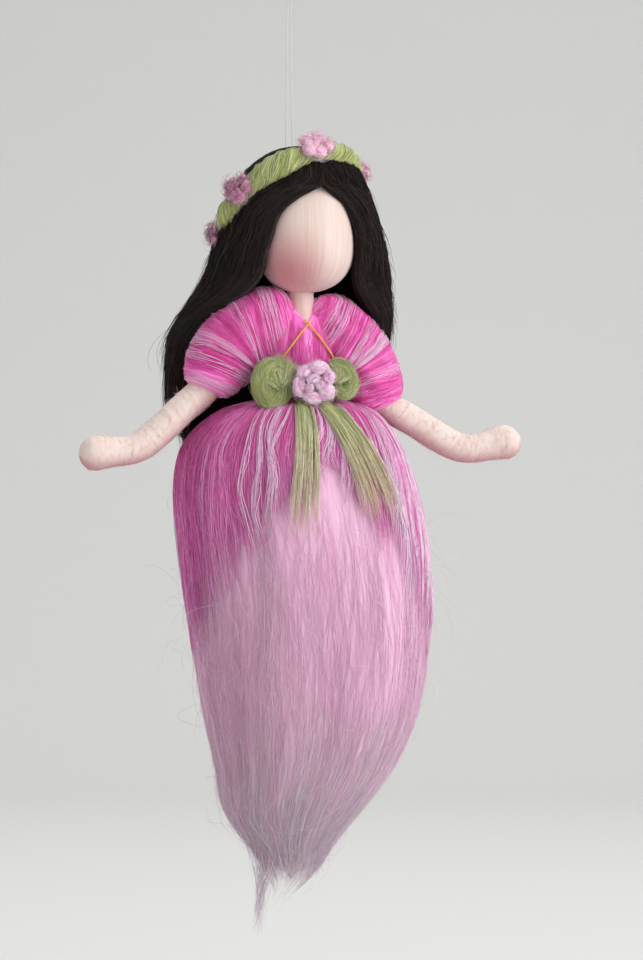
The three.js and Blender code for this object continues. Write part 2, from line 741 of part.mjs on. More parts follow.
// The rope is drawn in under each flower and swells between two of them
function wreathSwell(degrees) {
  const away = wreathFlowerTurns.map((flower) => {
    return Math.abs(THREE.MathUtils.euclideanModulo(degrees - flower + 180, 360) - 180);
  });
  const rise = THREE.MathUtils.smoothstep(Math.min(...away), 0, wreathSwellReachDegrees);
  return 1 + wreathSwelling * (rise - 0.45);
}
function wreathBand(grow) {
  const path = Array.from({ length: 24 }, (_, i) => wreathPoint(i * 15));
  const curve = new THREE.CatmullRomCurve3(path, true);
  const tall = new THREE.Vector3(0, 0, 1).applyMatrix4(wreathTurn);
  const section = (t) => {
    const swell = wreathSwell(360 * t);
    return [wreathRadius * swell, wreathRadius * 0.8 * swell];
  };
  return limbForm(curve, section, tall, { steps: 32, sides: 8, grow, looped: true });
}
function flowerForm(degrees, grow) {
  const seat = wreathPoint(degrees, wreathRadius * 0.3);
  const outward = wreathPoint(degrees, 1).sub(wreathPoint(degrees));
  const lifted = outward.add(new THREE.Vector3(0, 0, 0.45)).normalize();
  const place = faceAlong(seat.addScaledVector(lifted, 0.6), lifted, turn(degrees));
  return moved(rosetteForm(wreathFlowerRadius + grow, wreathFlowerHeight + grow), place);
}

// Thread: the eye above the knot, and the two strands joined by the stitch in the crown
const eyeTopZ = threadDiameter / 2;
const knotZ = eyeTopZ - 2 * eyeRadius - knotHeight / 2 - threadDiameter / 2 - 0.1;
const strandTopZ = knotZ - knotHeight / 2 - clearance;
const stitchZ = crownZ - 4;
function eyeForm() {
  const path = Array.from({ length: 21 }, (_, i) => {
    const angle = turn(-90 + 14 + (332 * i) / 20);
    const rise = eyeRadius * Math.sin(angle) - eyeRadius;
    return new THREE.Vector3(eyeRadius * Math.cos(angle), 0, eyeTopZ + rise);
  });
  return tubeForm(new THREE.CatmullRomCurve3(path), threadDiameter / 2, 14);
}
function knotForm() {
  const profile = Array.from({ length: 9 }, (_, i) => {
    const angle = turn(-90 + 22.5 * i);
    const radius = i === 0 || i === 8 ? 0 : knotRadius * Math.cos(angle);
    return new THREE.Vector2(radius, (knotHeight / 2) * Math.sin(angle));
  });
  return solidOf(new THREE.LatheGeometry(profile, 12).rotateX(Math.PI / 2)).translate([0, 0, knotZ]);
}
function strandsForm() {
  const path = new THREE.CurvePath();
  const half = strandCrownSpread / 2;
  const top = strandTopSpread / 2;
  const turnZ = stitchZ + half;
  path.add(lineBetween(new THREE.Vector3(-top, 0, strandTopZ), new THREE.Vector3(-half, 0, turnZ)));
  const bottom = new THREE.CubicBezierCurve3(
    new THREE.Vector3(-half, 0, turnZ),
    new THREE.Vector3(-half, 0, turnZ - half * 1.3),
    new THREE.Vector3(half, 0, turnZ - half * 1.3),
    new THREE.Vector3(half, 0, turnZ),
  );
  path.add(bottom);
  path.add(lineBetween(new THREE.Vector3(half, 0, turnZ), new THREE.Vector3(top, 0, strandTopZ)));
  return tubeForm(path, threadDiameter / 2, 26);
}
function stitchHole() {
  const radius = strandCrownSpread / 2 + threadDiameter / 2 + movingClearance;
  const top = new THREE.Vector3(0, 0, crownZ + 4);
  const bottom = new THREE.Vector3(0, 0, stitchZ - movingClearance - threadDiameter);
  const section = () => [radius, radius];
  return limbForm(lineBetween(bottom, top), section, new THREE.Vector3(1, 0, 0), { steps: 1 });
}

// Solids that others are cut by
const skinOutside = headEgg(clearance).add(neckColumn(neckRadius, clearance, neckBottomZ));
const bandOutside = wreathBand(clearance);
const sleeves = {};
const sleeveOutside = {};
const arms = {};
for (const name of ["left", "right"]) {
  const { pivot, raiseAxis, upperWay, foreWay, elbow, wrist } = armFrame(name);
  const inward = inBody(0, -shoulderForward, shoulderZ[name] + wireRise).sub(pivot).normalize();
  const bendStart = pivot.clone().addScaledVector(inward, shoulderBallRadius + movingClearance);
  const bendEnd = bendStart.clone().addScaledVector(inward, shoulderWireLength);
  const bendReach = bendEnd.clone().addScaledVector(inward, 2 * movingClearance);
  const bendGrown = wireForm(pivot, bendReach, movingClearance);
  const shoulderSocket = ballForm(shoulderBallRadius + movingClearance, pivot);
  let sleeve = cutBy(sleeveForm(name, 0), shoulderSocket, shoulderMouth(name));
  for (const share of [0, 0.25, 0.5, 0.75, 1]) {
    const swing = THREE.MathUtils.lerp(swingRange[0], swingRange[1], share);
    sleeve = sleeve.subtract(moved(bendGrown, turnAbout(pivot, up, swing)));
  }
  const socket = ballForm(elbowRadius + movingClearance, elbow);
  const upperArm = cutBy(upperArmForm(name, 0), socket, elbowRelief(name));
  const wireEnd = elbow.clone().addScaledVector(upperWay, -elbowRadius - movingClearance - clearance);
  const elbowBack = elbow.clone().addScaledVector(foreWay, -elbowRadius - movingClearance);
  const tip = wrist.clone().addScaledVector(foreWay, handRadius - wireEndCover);
  arms[name] = {
    upperArm: upperArm.subtract(wireForm(pivot, elbow, clearance)),
    upperWire: wireForm(pivot, wireEnd),
    forearm: forearmForm(name, 0).subtract(wireForm(elbowBack, tip, clearance)),
    foreWire: wireForm(elbow, tip),
    bend: wireForm(bendStart, bendEnd),
    bendEnd: bendEnd.clone().addScaledVector(inward, movingClearance),
  };
  sleeves[name] = sleeve;
  sleeveOutside[name] = sleeveForm(name, clearance);
}

// Chest wire: one run through the torso from bend to bend
const chestRun = (grow) => {
  const path = new THREE.CatmullRomCurve3([
    arms.left.bendEnd,
    inBody(coreRadius, -shoulderForward, leftShoulderZ + wireRise * 0.86),
    inBody(-coreRadius, -shoulderForward, rightShoulderZ + wireRise * 0.86),
    arms.right.bendEnd,
  ]);
  return tubeForm(path, wireRadius + grow, 12);
};
const chestWire = chestRun(0);
const chestWireHole = chestRun(clearance);

const goldForm = (name, grow) => tubeForm(goldCurve(name), goldRadius + grow, 10);
const goldHoles = ["left", "right"].map((name) => goldForm(name, clearance));

// Parts cut to lie on each other
const torsoCore = torsoColumn(0).subtract(chestWireHole);
const bodice = cutBy(
  bodiceForm(0),
  torsoColumn(clearance),
  neckColumn(neckRadius, movingClearance, neckBottomZ - 2),
  neckOpening(),
  chestWireHole,
  ...goldHoles,
);
const bodiceOutside = bodiceForm(clearance);
const sashOutside = sashForm(clearance);
const bowParts = { bow_knot: ballForm(bowKnotRadius, bowKnotPlace) };
const bowKnotOutside = ballForm(bowKnotRadius + clearance, bowKnotPlace);
const waistFlowerPlace = faceAlong(
  bowKnotPlace.clone().add(new THREE.Vector3(0.6, -bowKnotRadius * 0.75, 0)),
  new THREE.Vector3(-0.12, -1, 0.08),
  0.4,
);
const waistFlowerForm = (grow) => {
  return moved(rosetteForm(waistFlowerRadius + grow, waistFlowerHeight + grow), waistFlowerPlace);
};
const waistFlower = waistFlowerForm(0).subtract(bowKnotOutside);
const flowerOutside = waistFlowerForm(clearance);
const armSweep = ["left", "right"].flatMap((name) => {
  const { pivot, raiseAxis } = armFrame(name);
  const arm = upperArmForm(name, movingClearance);
  const lowest = turnAbout(pivot, raiseAxis, raiseRange[0]);
  return [swingRange[0], 0, swingRange[1]].map((swing) => {
    return moved(arm, turnAbout(pivot, up, swing).multiply(lowest));
  });
});
const overskirt = cutBy(overskirtForm(), ...armSweep);
const underskirt = cutBy(skirtForm(0), torsoColumn(clearance), ...armSweep);
const skirtOutside = skirtForm(overskirtThickness + 2 * clearance, 1);
const sleevePair = sleeveOutside.left.add(sleeveOutside.right);
for (const name of ["left", "right"]) {
  const other = name === "left" ? bodyX + clearance / 2 : bodyX - clearance / 2;
  const halfSpace = new THREE.Matrix4().makeTranslation(other - sideOf[name] * 30, bodyY, sleeveStartZ - 10);
  sleeves[name] = cutBy(
    sleeves[name],
    bodiceOutside,
    boxForm(60, 80, 80, halfSpace),
    neckColumn(neckRadius, movingClearance, neckBottomZ - 2),
    boxForm(80, 80, 20, new THREE.Matrix4().makeTranslation(0, 0, collarZ + 10)),
    neckOpening(),
    skirtOutside,
    sashOutside,
    chestWireHole,
    ...goldHoles,
  );
}
bowParts.sash = cutBy(sashForm(), bodiceOutside, skirtOutside, bowKnotOutside, flowerOutside);
for (const name of ["left", "right"]) {
  bowParts["bow_loop_" + name] = cutBy(
    bowLoopForm(name),
    bowKnotOutside,
    flowerOutside,
    bodiceOutside,
    sashOutside,
    skirtOutside,
    sleevePair,
    ...goldHoles,
  );
  bowParts["bow_tail_" + name] = cutBy(
    bowTailForm(name),
    bowKnotOutside,
    flowerOutside,
    bodiceOutside,
    sashOutside,
    skirtOutside,
    sleevePair,
    ...(name === "left" ? [bowTailForm("right", clearance)] : []),
  );
}

// Hair, parted over the head and cut level at the chin, where the head turns on the body
const flowersOutside = wreathFlowerTurns.map((degrees) => flowerForm(degrees, clearance));
const hairCut = cutBy(hairMass(), skinOutside, faceOpening(), bandOutside, stitchHole(), ...flowersOutside);
const levelSlab = (middleZ, height) => {
  const place = new THREE.Matrix4().makeTranslation(0, 0, middleZ);
  return boxForm(4 * hairHalfWidth, 4 * hairHalfWidth, height, place);
};
const aboveChin = levelSlab(chinZ + headHeight + movingClearance / 2, 2 * headHeight);
const belowChin = levelSlab(chinZ - hairFallLength - movingClearance / 2, 2 * hairFallLength);
const partingSide = (side) => {
  const shift = new THREE.Matrix4().makeTranslation(side * (40 + partingGap / 2), 0, chinZ);
  return boxForm(80, 160, 160, headPlace.clone().multiply(shift));
};
const frontLimit = boxForm(160, 40, 90, new THREE.Matrix4().makeTranslation(bodyX, bodyY - 21, chinZ - 45));
const hair = {
  hair_left: hairCut.intersect(aboveChin).intersect(partingSide(1)),
  hair_right: hairCut.intersect(aboveChin).intersect(partingSide(-1)),
  hair_fall: cutBy(
    hairMass(),
    frontLimit,
    sleevePair,
    bodiceOutside,
    sashOutside,
    skirtOutside,
    skinOutside,
    chestWireHole,
  ).intersect(belowChin),
};

// Scene graph: each joint's pivot is a group that carries what moves with it
const doll = new THREE.Group();
const groupAt = (parent, place) => {
  const group = new THREE.Group();
  parent.updateWorldMatrix(true, false);
  group.position.copy(parent.worldToLocal(place.clone()));
  parent.add(group);
  group.updateWorldMatrix(true, false);
  return group;
};
const knotGroup = groupAt(doll, new THREE.Vector3(0, 0, knotZ));
const strandGroup = groupAt(knotGroup, new THREE.Vector3(0, 0, strandTopZ));
const headGroup = groupAt(strandGroup, new THREE.Vector3(0, 0, crownZ));
const bodyGroup = groupAt(headGroup, inBody(0, 0, chinZ));
const swingGroups = {};
const raiseGroups = {};
const elbowGroups = {};
for (const name of ["left", "right"]) {
  const { pivot, elbow } = armFrame(name);
  swingGroups[name] = groupAt(bodyGroup, pivot);
  raiseGroups[name] = groupAt(swingGroups[name], pivot);
  elbowGroups[name] = groupAt(raiseGroups[name], elbow);
}

function addMesh(group, name, solid, color, roughness = 0.95, metalness = 0) {
  const body = solid.decompose().sort((a, b) => b.volume() - a.volume())[0];
  const mesh = body.getMesh();
  const geometry = new THREE.BufferGeometry();
  geometry.setAttribute("position", new THREE.BufferAttribute(mesh.vertProperties, 3));
  geometry.setIndex(new THREE.BufferAttribute(mesh.triVerts, 1));
  const home = group.getWorldPosition(new THREE.Vector3());
  geometry.translate(-home.x, -home.y, -home.z);
  geometry.computeVertexNormals();
  const material = new THREE.MeshStandardMaterial({ color, roughness, metalness });
  const made = new THREE.Mesh(geometry, material);
  made.name = name;
  group.add(made);
}

const skinColour = 0xf0ddd0;
const hairColour = 0x241714;
const greenColour = 0xa3b45c;
const flowerColour = 0xe0a9c2;
const pinkColour = 0xe4478f;
const palePinkColour = 0xdca6c4;
const goldColour = 0xe0a04a;
const wireColour = 0xb9b7b2;
const threadColour = 0xd9dcdc;
const woolColour = 0xf2ece4;

addMesh(doll, "hanging_loop", eyeForm(), threadColour, 0.3);
addMesh(knotGroup, "thread_knot", knotForm(), threadColour, 0.3);
addMesh(strandGroup, "hanging_thread", strandsForm(), threadColour, 0.3);
addMesh(headGroup, "head_core", headCore, woolColour);
addMesh(headGroup, "head_skin", headSkin, skinColour);
addMesh(headGroup, "hair_left", hair.hair_left, hairColour);
addMesh(headGroup, "hair_right", hair.hair_right, hairColour);
addMesh(headGroup, "wreath_band", wreathBand(0), greenColour);
wreathFlowerTurns.forEach((degrees, i) => {
  addMesh(headGroup, "wreath_flower_" + (i + 1), flowerForm(degrees, 0).subtract(bandOutside), flowerColour);
});
addMesh(bodyGroup, "torso_core", torsoCore, woolColour);
addMesh(bodyGroup, "bodice", bodice, pinkColour);
addMesh(bodyGroup, "hair_fall", hair.hair_fall, hairColour);
addMesh(bodyGroup, "overskirt", overskirt, pinkColour);
addMesh(bodyGroup, "underskirt", underskirt, palePinkColour);
addMesh(bodyGroup, "waist_flower", waistFlower, flowerColour);
for (const [name, solid] of Object.entries(bowParts)) {
  addMesh(bodyGroup, name, solid, greenColour);
}
addMesh(bodyGroup, "chest_wire", chestWire, wireColour, 0.4, 0.9);
for (const name of ["left", "right"]) {
  addMesh(bodyGroup, name + "_sleeve", sleeves[name], pinkColour);
  addMesh(bodyGroup, "gold_thread_" + name, goldForm(name, 0), goldColour, 0.35, 0.8);
  addMesh(swingGroups[name], name + "_shoulder_wire", arms[name].bend, wireColour, 0.4, 0.9);
  addMesh(raiseGroups[name], name + "_upper_arm", arms[name].upperArm, skinColour);
  addMesh(raiseGroups[name], name + "_upper_arm_wire", arms[name].upperWire, wireColour, 0.4, 0.9);
  addMesh(elbowGroups[name], name + "_forearm", arms[name].forearm, skinColour);
  addMesh(elbowGroups[name], name + "_forearm_wire", arms[name].foreWire, wireColour, 0.4, 0.9);
}

export default doll;
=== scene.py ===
import math

import bpy
import numpy as np
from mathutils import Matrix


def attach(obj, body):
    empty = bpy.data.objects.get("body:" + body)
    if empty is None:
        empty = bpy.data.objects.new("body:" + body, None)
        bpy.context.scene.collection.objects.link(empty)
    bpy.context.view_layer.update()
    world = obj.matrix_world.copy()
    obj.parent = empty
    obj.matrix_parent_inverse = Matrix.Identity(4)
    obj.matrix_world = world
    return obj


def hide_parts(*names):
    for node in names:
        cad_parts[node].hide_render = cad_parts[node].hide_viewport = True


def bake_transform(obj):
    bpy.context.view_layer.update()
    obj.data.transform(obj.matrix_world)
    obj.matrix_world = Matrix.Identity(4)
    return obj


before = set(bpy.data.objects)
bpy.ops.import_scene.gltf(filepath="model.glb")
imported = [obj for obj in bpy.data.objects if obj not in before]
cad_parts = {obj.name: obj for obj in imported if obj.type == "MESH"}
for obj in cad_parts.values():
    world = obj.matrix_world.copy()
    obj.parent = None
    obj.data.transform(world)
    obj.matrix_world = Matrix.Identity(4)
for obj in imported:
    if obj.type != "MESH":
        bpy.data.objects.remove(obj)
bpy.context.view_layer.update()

bpy.context.scene.view_settings.view_transform = "Standard"

# Camera: level with the skirt, a little to the doll's right, so that the doll hangs in the
# middle of an upright picture and its thread leaves through the top edge.

view_degrees = -15.0
camera_distance = 1.100
view_height = 0.2688
sensor_height = 24.0
view_turn = math.radians(view_degrees)
view_right = np.array([math.cos(view_turn), math.sin(view_turn), 0.0])
view_aside, view_middle_z = 0.0091, -0.1386
view_target = view_aside * view_right + np.array([0.0, 0.0, view_middle_z])

camera_data = bpy.data.cameras.new("camera")
camera_data.sensor_fit = "VERTICAL"
camera_data.sensor_height = sensor_height
camera_data.lens = sensor_height * camera_distance / view_height
camera_data.clip_start = 0.05
camera_data.clip_end = 20.0
camera = bpy.data.objects.new("camera", camera_data)
view_from = np.array([math.sin(view_turn), -math.cos(view_turn), 0.0])
camera.location = view_target + camera_distance * view_from
camera.rotation_euler = (math.radians(90.0), 0.0, view_turn)
bpy.context.scene.collection.objects.link(camera)
bpy.context.scene.camera = camera

# Hanging thread: clear nylon line, 0.3 mm thick. It runs down from the knot, through one stitch
# in the crown and up again, and above the knot it makes the eye that a hook goes through.


def colour(hex_value):
    """sRGB hex to linear: divide by 12.92 near black, else the 2.4 power curve."""
    values = [int(hex_value[i : i + 2], 16) / 255 for i in (1, 3, 5)]
    return tuple(v / 12.92 if v <= 0.04045 else ((v + 0.055) / 1.055) ** 2.4 for v in values) + (1.0,)


def node(tree, kind, inputs=None, **settings):
    """Adds a node; an input is a value or the output socket that feeds it."""
    made = tree.nodes.new(kind)
    for name, value in settings.items():
        setattr(made, name, value)
    for name, value in (inputs or {}).items():
        if isinstance(value, bpy.types.NodeSocket):
            tree.links.new(value, made.inputs[name])
        else:
            made.inputs[name].default_value = value
    return made


def new_material(name):
    """An empty node material and its output node."""
    made = bpy.data.materials.new(name)
    made.use_nodes = True
    made.node_tree.nodes.clear()
    return made, made.node_tree, made.node_tree.nodes.new("ShaderNodeOutputMaterial")


def make_piece(name, points, faces, material, uv=None, around=(0.0, 0.0), map_name="wool_run"):
    """A smooth mesh from points in millimetres and arrays of three- or four-cornered faces.

    uv gives each point its place on the map, so that a pattern can follow the wool. Where the
    map closes on itself, around is the length at which it starts again, in each of its ways."""
    corners = np.concatenate([f.ravel() for f in faces]).astype(np.int32)
    sizes = np.concatenate([np.full(len(f), f.shape[1]) for f in faces])
    mesh = bpy.data.meshes.new(name)
    mesh.vertices.add(len(points))
    mesh.vertices.foreach_set("co", (np.asarray(points) / 1000).astype(np.float32).ravel())
    mesh.loops.add(len(corners))
    mesh.loops.foreach_set("vertex_index", corners)
    mesh.polygons.add(len(sizes))
    mesh.polygons.foreach_set("loop_start", (np.cumsum(sizes) - sizes).astype(np.int32))
    mesh.polygons.foreach_set("use_smooth", np.full(len(sizes), True))
    mesh.update(calc_edges=True)
    if uv is not None:
        spots = [np.asarray(uv, np.float32)[f] for f in faces]
        for way, length in enumerate(around):
            for spot in spots if length else []:
                behind = spot[..., way].max(1, keepdims=True) - spot[..., way] > length / 2
                spot[..., way] += length * behind
        layer = mesh.uv_layers.new(name=map_name)
        layer.data.foreach_set("uv", np.concatenate([spot.ravel() for spot in spots]))
    mesh.materials.append(material)
    made = bpy.data.objects.new(name, mesh)
    bpy.context.scene.collection.objects.link(made)
    return made


# Drawn nylon: clear and smooth, so it shows as a pale bright line
nylon, tree, output = new_material("clear_nylon_line")
shader = node(
    tree, "ShaderNodeBsdfPrincipled",
    {"Base Color": colour("#E4E6E6"), "Roughness": 0.22, "IOR": 1.53, "Transmission Weight": 0.35},
)
tree.links.new(shader.outputs["BSDF"], output.inputs["Surface"])

thread_diameter = 0.3
strand_top = 0.375
strand_crown = 1.0
strand_top_z = -4.5
stitch_turn_z = -46.6
eye_radius, eye_middle_z = 1.5, -1.35
knot_radius, knot_bottom_z, knot_height = 0.5, -4.02, 0.74


def points_at(x, y, z):
    """Points from their three measures, each a number or an array."""
    return np.stack(np.broadcast_arrays(x, y, z), -1)


def round_of(count, start=0.0):
    """Angles evenly round a full turn from start, without the one that closes it."""
    return start + np.linspace(0, 2 * np.pi, count, endpoint=False)


def line_tube(path, radius, sides=8):
    """Points of a tube: at each point of the path, a circle across the path's own direction.

    Both ends close in a point that stands half a radius proud."""
    path = np.asarray(path, float)
    ahead = np.gradient(path, axis=0)
    ahead /= np.linalg.norm(ahead, axis=1, keepdims=True)
    across = np.cross(ahead, [0.31, 0.93, 0.2])
    across /= np.linalg.norm(across, axis=1, keepdims=True)
    other = np.cross(ahead, across)
    turn = round_of(sides)[None, :, None]
    rings = path[:, None] + radius * (np.cos(turn) * across[:, None] + np.sin(turn) * other[:, None])
    return rings, np.array([path[0] - 0.5 * radius * ahead[0], path[-1] + 0.5 * radius * ahead[-1]])


def tube_faces(rows, sides):
    """Quads between rings, and a fan at each end round the two points that come after them."""
    here = np.arange(rows * sides).reshape(rows, sides)
    beside = np.roll(here, -1, axis=1)
    quads = np.stack([here[:-1], beside[:-1], beside[1:], here[1:]], -1).reshape(-1, 4)
    first = np.full(sides, rows * sides)
    fans = [np.stack([first, beside[0], here[0]], -1), np.stack([here[-1], beside[-1], first + 1], -1)]
    return [quads, np.concatenate(fans)]


def closed_tube(rings, ends):
    """Points and faces of a tube: its rings, and a point that closes each end."""
    return np.concatenate([rings.reshape(-1, 3), ends]), tube_faces(*rings.shape[:2])


bend = np.linspace(np.pi, 2 * np.pi, 13)
going_down = np.linspace([-strand_top, 0, strand_top_z], [-strand_crown, 0, stitch_turn_z], 12)
stitch = points_at(strand_crown * np.cos(bend), 0, stitch_turn_z + strand_crown * np.sin(bend))
going_up = np.linspace([strand_crown, 0, stitch_turn_z], [strand_top, 0, strand_top_z], 12)
strand_path = np.concatenate([going_down[:-1], stitch, going_up[1:]])
strands = make_piece("nylon_strands", *closed_tube(*line_tube(strand_path, thread_diameter / 2)), nylon)
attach(strands, "strands")
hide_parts("hanging_thread")

# The eye is open by 28 degrees at its foot, where its two ends go into the knot
eye_turn = np.radians(-90 + 14 + 332 * np.linspace(0, 1, 41))
eye_path = points_at(eye_radius * np.cos(eye_turn), 0, eye_middle_z + eye_radius * np.sin(eye_turn))
eye = make_piece("nylon_eye", *closed_tube(*line_tube(eye_path, thread_diameter / 2)), nylon)
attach(eye, "hanger")
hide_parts("hanging_loop")

# The knot's turns: one line wound three times round the strands, drawn tight
knot_turn = np.linspace(0, 6 * np.pi, 61)
knot_z = knot_bottom_z + knot_height * knot_turn / knot_turn[-1]
knot_path = points_at(knot_radius * np.cos(knot_turn), knot_radius * np.sin(knot_turn), knot_z)
knot = make_piece("nylon_knot", *closed_tube(*line_tube(knot_path, thread_diameter / 2)), nylon)
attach(knot, "knot")
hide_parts("thread_knot")

# Head: an egg of white wool wound tight and covered with skin-coloured wool, needled smooth.
# Its fibres run down the face. The neck is the same wool, drawn in below the chin.

body_x, body_y = 2.0, -4.0
head_turn = 10.0
chin_z, collar_z, waist_z = -86.6, -87.6, -115.8
egg_half_width, egg_half_depth, egg_height = 13.8, 13.4, 36


def eased(rows, at):
    """The table's columns at any value of its first column.

    Between two rows it is the cubic whose end slopes come from the rows beside them."""
    rows = np.asarray(rows, float)
    at = np.asarray(at, float)
    i = np.clip(np.searchsorted(rows[:, 0], at, side="right") - 1, 0, len(rows) - 2)
    before, a, b = rows[np.clip(i - 1, 0, None)], rows[i], rows[i + 1]
    after = rows[np.clip(i + 2, None, len(rows) - 1)]
    span = b[..., :1] - a[..., :1]
    s = np.clip((at[..., None] - a[..., :1]) / span, 0, 1)
    leave = (b - before) / np.maximum(b[..., :1] - before[..., :1], 1e-9) * span
    reach = (after - a) / np.maximum(after[..., :1] - a[..., :1], 1e-9) * span
    s2, s3 = s * s, s * s * s
    value = (2 * s3 - 3 * s2 + 1) * a + (s3 - 2 * s2 + s) * leave
    value += (3 * s2 - 2 * s3) * b + (s3 - s2) * reach
    return np.moveaxis(value[..., 1:], -1, 0)


def turned(degrees, axis):
    """The matrix that turns a point about x, y or z."""
    c, s = math.cos(math.radians(degrees)), math.sin(math.radians(degrees))
    i, j = {"x": (1, 2), "y": (2, 0), "z": (0, 1)}[axis]
    made = np.eye(3)
    made[[i, j], [i, j]] = c
    made[i, j], made[j, i] = -s, s
    return made


def in_head(x, y, z):
    """A place given beside the head's own axis, turned with the head."""
    return points_at(x, y, z) @ turned(head_turn, "z").T + [body_x, body_y, 0]


def wave(seed, *ways):
    """A smooth random wave over a surface: half the sum of four sines.

    Each way is a place on the surface and about how many waves go by while it grows by a full
    turn. The number is whole for each sine, so that the wave closes on itself."""
    dice = np.random.default_rng(seed)
    total = 0.0
    for _ in range(4):
        phase = dice.uniform(0, 2 * np.pi)
        for place, number in ways:
            phase = phase + np.round(number * dice.uniform(0.5, 1.6)) * place
        total = total + np.sin(phase)
    return total / 2


def capped(rings):
    """Points and faces over rings that turn left as seen from the last; each end closes in a point."""
    return closed_tube(rings, np.array([rings[0].mean(0), rings[-1].mean(0)]))


def joined(parts):
    """Several closed parts as one: all their points, and their faces numbered on."""
    starts = np.cumsum([0] + [len(points) for points, _ in parts])
    points = np.concatenate([points for points, _ in parts])
    return points, [f + start for start, (_, faces) in zip(starts, parts) for f in faces]


def wool_map(across, along, *poles):
    """The map of a grid in millimetres, with a place for each point that closes an end."""
    uv = np.stack([across, along], -1).reshape(-1, 2)
    return np.concatenate([uv, np.reshape(poles, (-1, 2))])


egg_rows = [
    [0, 0.05], [0.01, 0.2], [0.03, 0.35], [0.1, 0.6], [0.25, 0.85], [0.45, 0.98], [0.62, 1], [0.78, 0.93],
    [0.9, 0.74], [0.96, 0.52], [0.99, 0.28], [1, 0.06],
]


def face_point(turn, share, lift=0.0):
    """The egg: at each share of its height an oval as wide as the table says, set back at its foot."""
    (size,) = eased(egg_rows, share)
    back = 4.6 * (1 - 0.5 * share**8)
    out = egg_half_width * size + lift + 0.12 * wave(3, (turn, 3), (share, 7))
    deep = egg_half_depth * size + lift
    return in_head(out * np.cos(turn), deep * np.sin(turn) - back, chin_z + egg_height * (1 - share))


def felt_material(
    name, light, mid, deep, fibre_mm=0.3, run_mm=9.0, blush_and_shade=None, fade=None, bump=0.25, sheen=0.35,
    shine=0.25, loose=0.0,
):
    """Wool seen as a mass: streaks along the map's second way, in three tones.

    The map is in millimetres, so a streak is fibre_mm wide and about run_mm long. A real fibre
    is some 0.02 mm thick, too fine to show, so a streak stands for a strand of many. blush is a
    tint, its middle and its reach in metres: a rosy tint that is partly the wool's colour and
    partly painted shade. fade is a tint, the place on the map's second way where it is
    strongest, and its reach in millimetres. Light soaks into loose wool."""
    made, tree, output = new_material(name)
    place = node(tree, "ShaderNodeUVMap", uv_map="wool_run")
    fine = node(
        tree, "ShaderNodeMapping",
        {"Vector": place.outputs["UV"], "Scale": (0.5 / fibre_mm, 0.5 / run_mm, 1.0)},
    )
    streak = node(
        tree, "ShaderNodeTexNoise",
        {"Vector": fine.outputs["Vector"], "Scale": 1.0, "Detail": 5.0, "Roughness": 0.62},
        noise_dimensions="2D",
    )
    broad = node(
        tree, "ShaderNodeMapping",
        {"Vector": place.outputs["UV"], "Scale": (0.08 / fibre_mm, 0.2 / run_mm, 1.0)},
    )
    lock = node(
        tree, "ShaderNodeTexNoise", {"Vector": broad.outputs["Vector"], "Scale": 1.0, "Detail": 2.0},
        noise_dimensions="2D",
    )
    both = node(
        tree, "ShaderNodeMix", {"Factor": 0.45, "A": streak.outputs["Fac"], "B": lock.outputs["Fac"]},
        data_type="FLOAT",
    )
    tones = node(tree, "ShaderNodeValToRGB", {"Fac": both.outputs["Result"]})
    tones.color_ramp.elements[0].position = 0.36
    tones.color_ramp.elements[0].color = colour(deep)
    tones.color_ramp.elements[1].position = 0.66
    tones.color_ramp.elements[1].color = colour(light)
    middle = tones.color_ramp.elements.new(0.5)
    middle.color = colour(mid)
    base = tones.outputs["Color"]

    def tinted(base, measure, reach, full, tint):
        """The base colour, drawn towards the tint as the measure falls from reach to full."""
        near = node(
            tree, "ShaderNodeMapRange",
            {"Value": measure, "From Min": reach, "From Max": full, "To Max": 0.85},
            interpolation_type="SMOOTHSTEP",
        )
        mixed = node(
            tree, "ShaderNodeMix", {0: near.outputs["Result"], 6: base, 7: colour(tint)}, data_type="RGBA"
        )
        return mixed.outputs[2]

    if blush_and_shade is not None:
        tint, centre, reach = blush_and_shade
        where = node(tree, "ShaderNodeTexCoord")
        away = node(
            tree, "ShaderNodeVectorMath", {0: where.outputs["Object"], 1: centre}, operation="DISTANCE"
        )
        base = tinted(base, away.outputs["Value"], reach, reach * 0.25, tint)
    if fade is not None:
        tint, at, reach = fade
        split = node(tree, "ShaderNodeSeparateXYZ", {"Vector": place.outputs["UV"]})
        off = node(tree, "ShaderNodeMath", {0: split.outputs["Y"], 1: at}, operation="SUBTRACT")
        size = node(tree, "ShaderNodeMath", {0: off.outputs["Value"]}, operation="ABSOLUTE")
        base = tinted(base, size.outputs["Value"], reach, 0.0, tint)
    relief = node(
        tree, "ShaderNodeBump", {"Height": streak.outputs["Fac"], "Strength": bump, "Distance": 0.0003}
    )
    shader = node(
        tree, "ShaderNodeBsdfPrincipled",
        {
            "Base Color": base, "Roughness": 0.85, "Normal": relief.outputs["Normal"],
            "Sheen Weight": sheen, "Sheen Roughness": 0.5, "Specular IOR Level": shine,
            "Subsurface Weight": loose, "Subsurface Radius": (1.0, 0.7, 0.85), "Subsurface Scale": 0.003,
        },
    )
    tree.links.new(shader.outputs["BSDF"], output.inputs["Surface"])
    return made


# Merino needled firm: matte, with faint lines down the face. Its lower cheek on the doll's right is
# rosier, partly as rosy wool and partly as painted shade where the hair shades that side of the face
skin_felt = felt_material(
    "needled_skin_merino", "#E5D2CA", "#E1CCC3", "#DBC4BB", fibre_mm=0.4, run_mm=16.0,
    blush_and_shade=("#B84A60", (-0.0105, -0.0235, -0.0872), 0.0235), bump=0.02, sheen=0.15,
)

turn, share = np.meshgrid(round_of(96), np.linspace(1, 0, 72))
egg = capped(face_point(turn, share))
egg_map = wool_map(turn * 13, (1 - share) * 40, [40, 0], [40, 40])

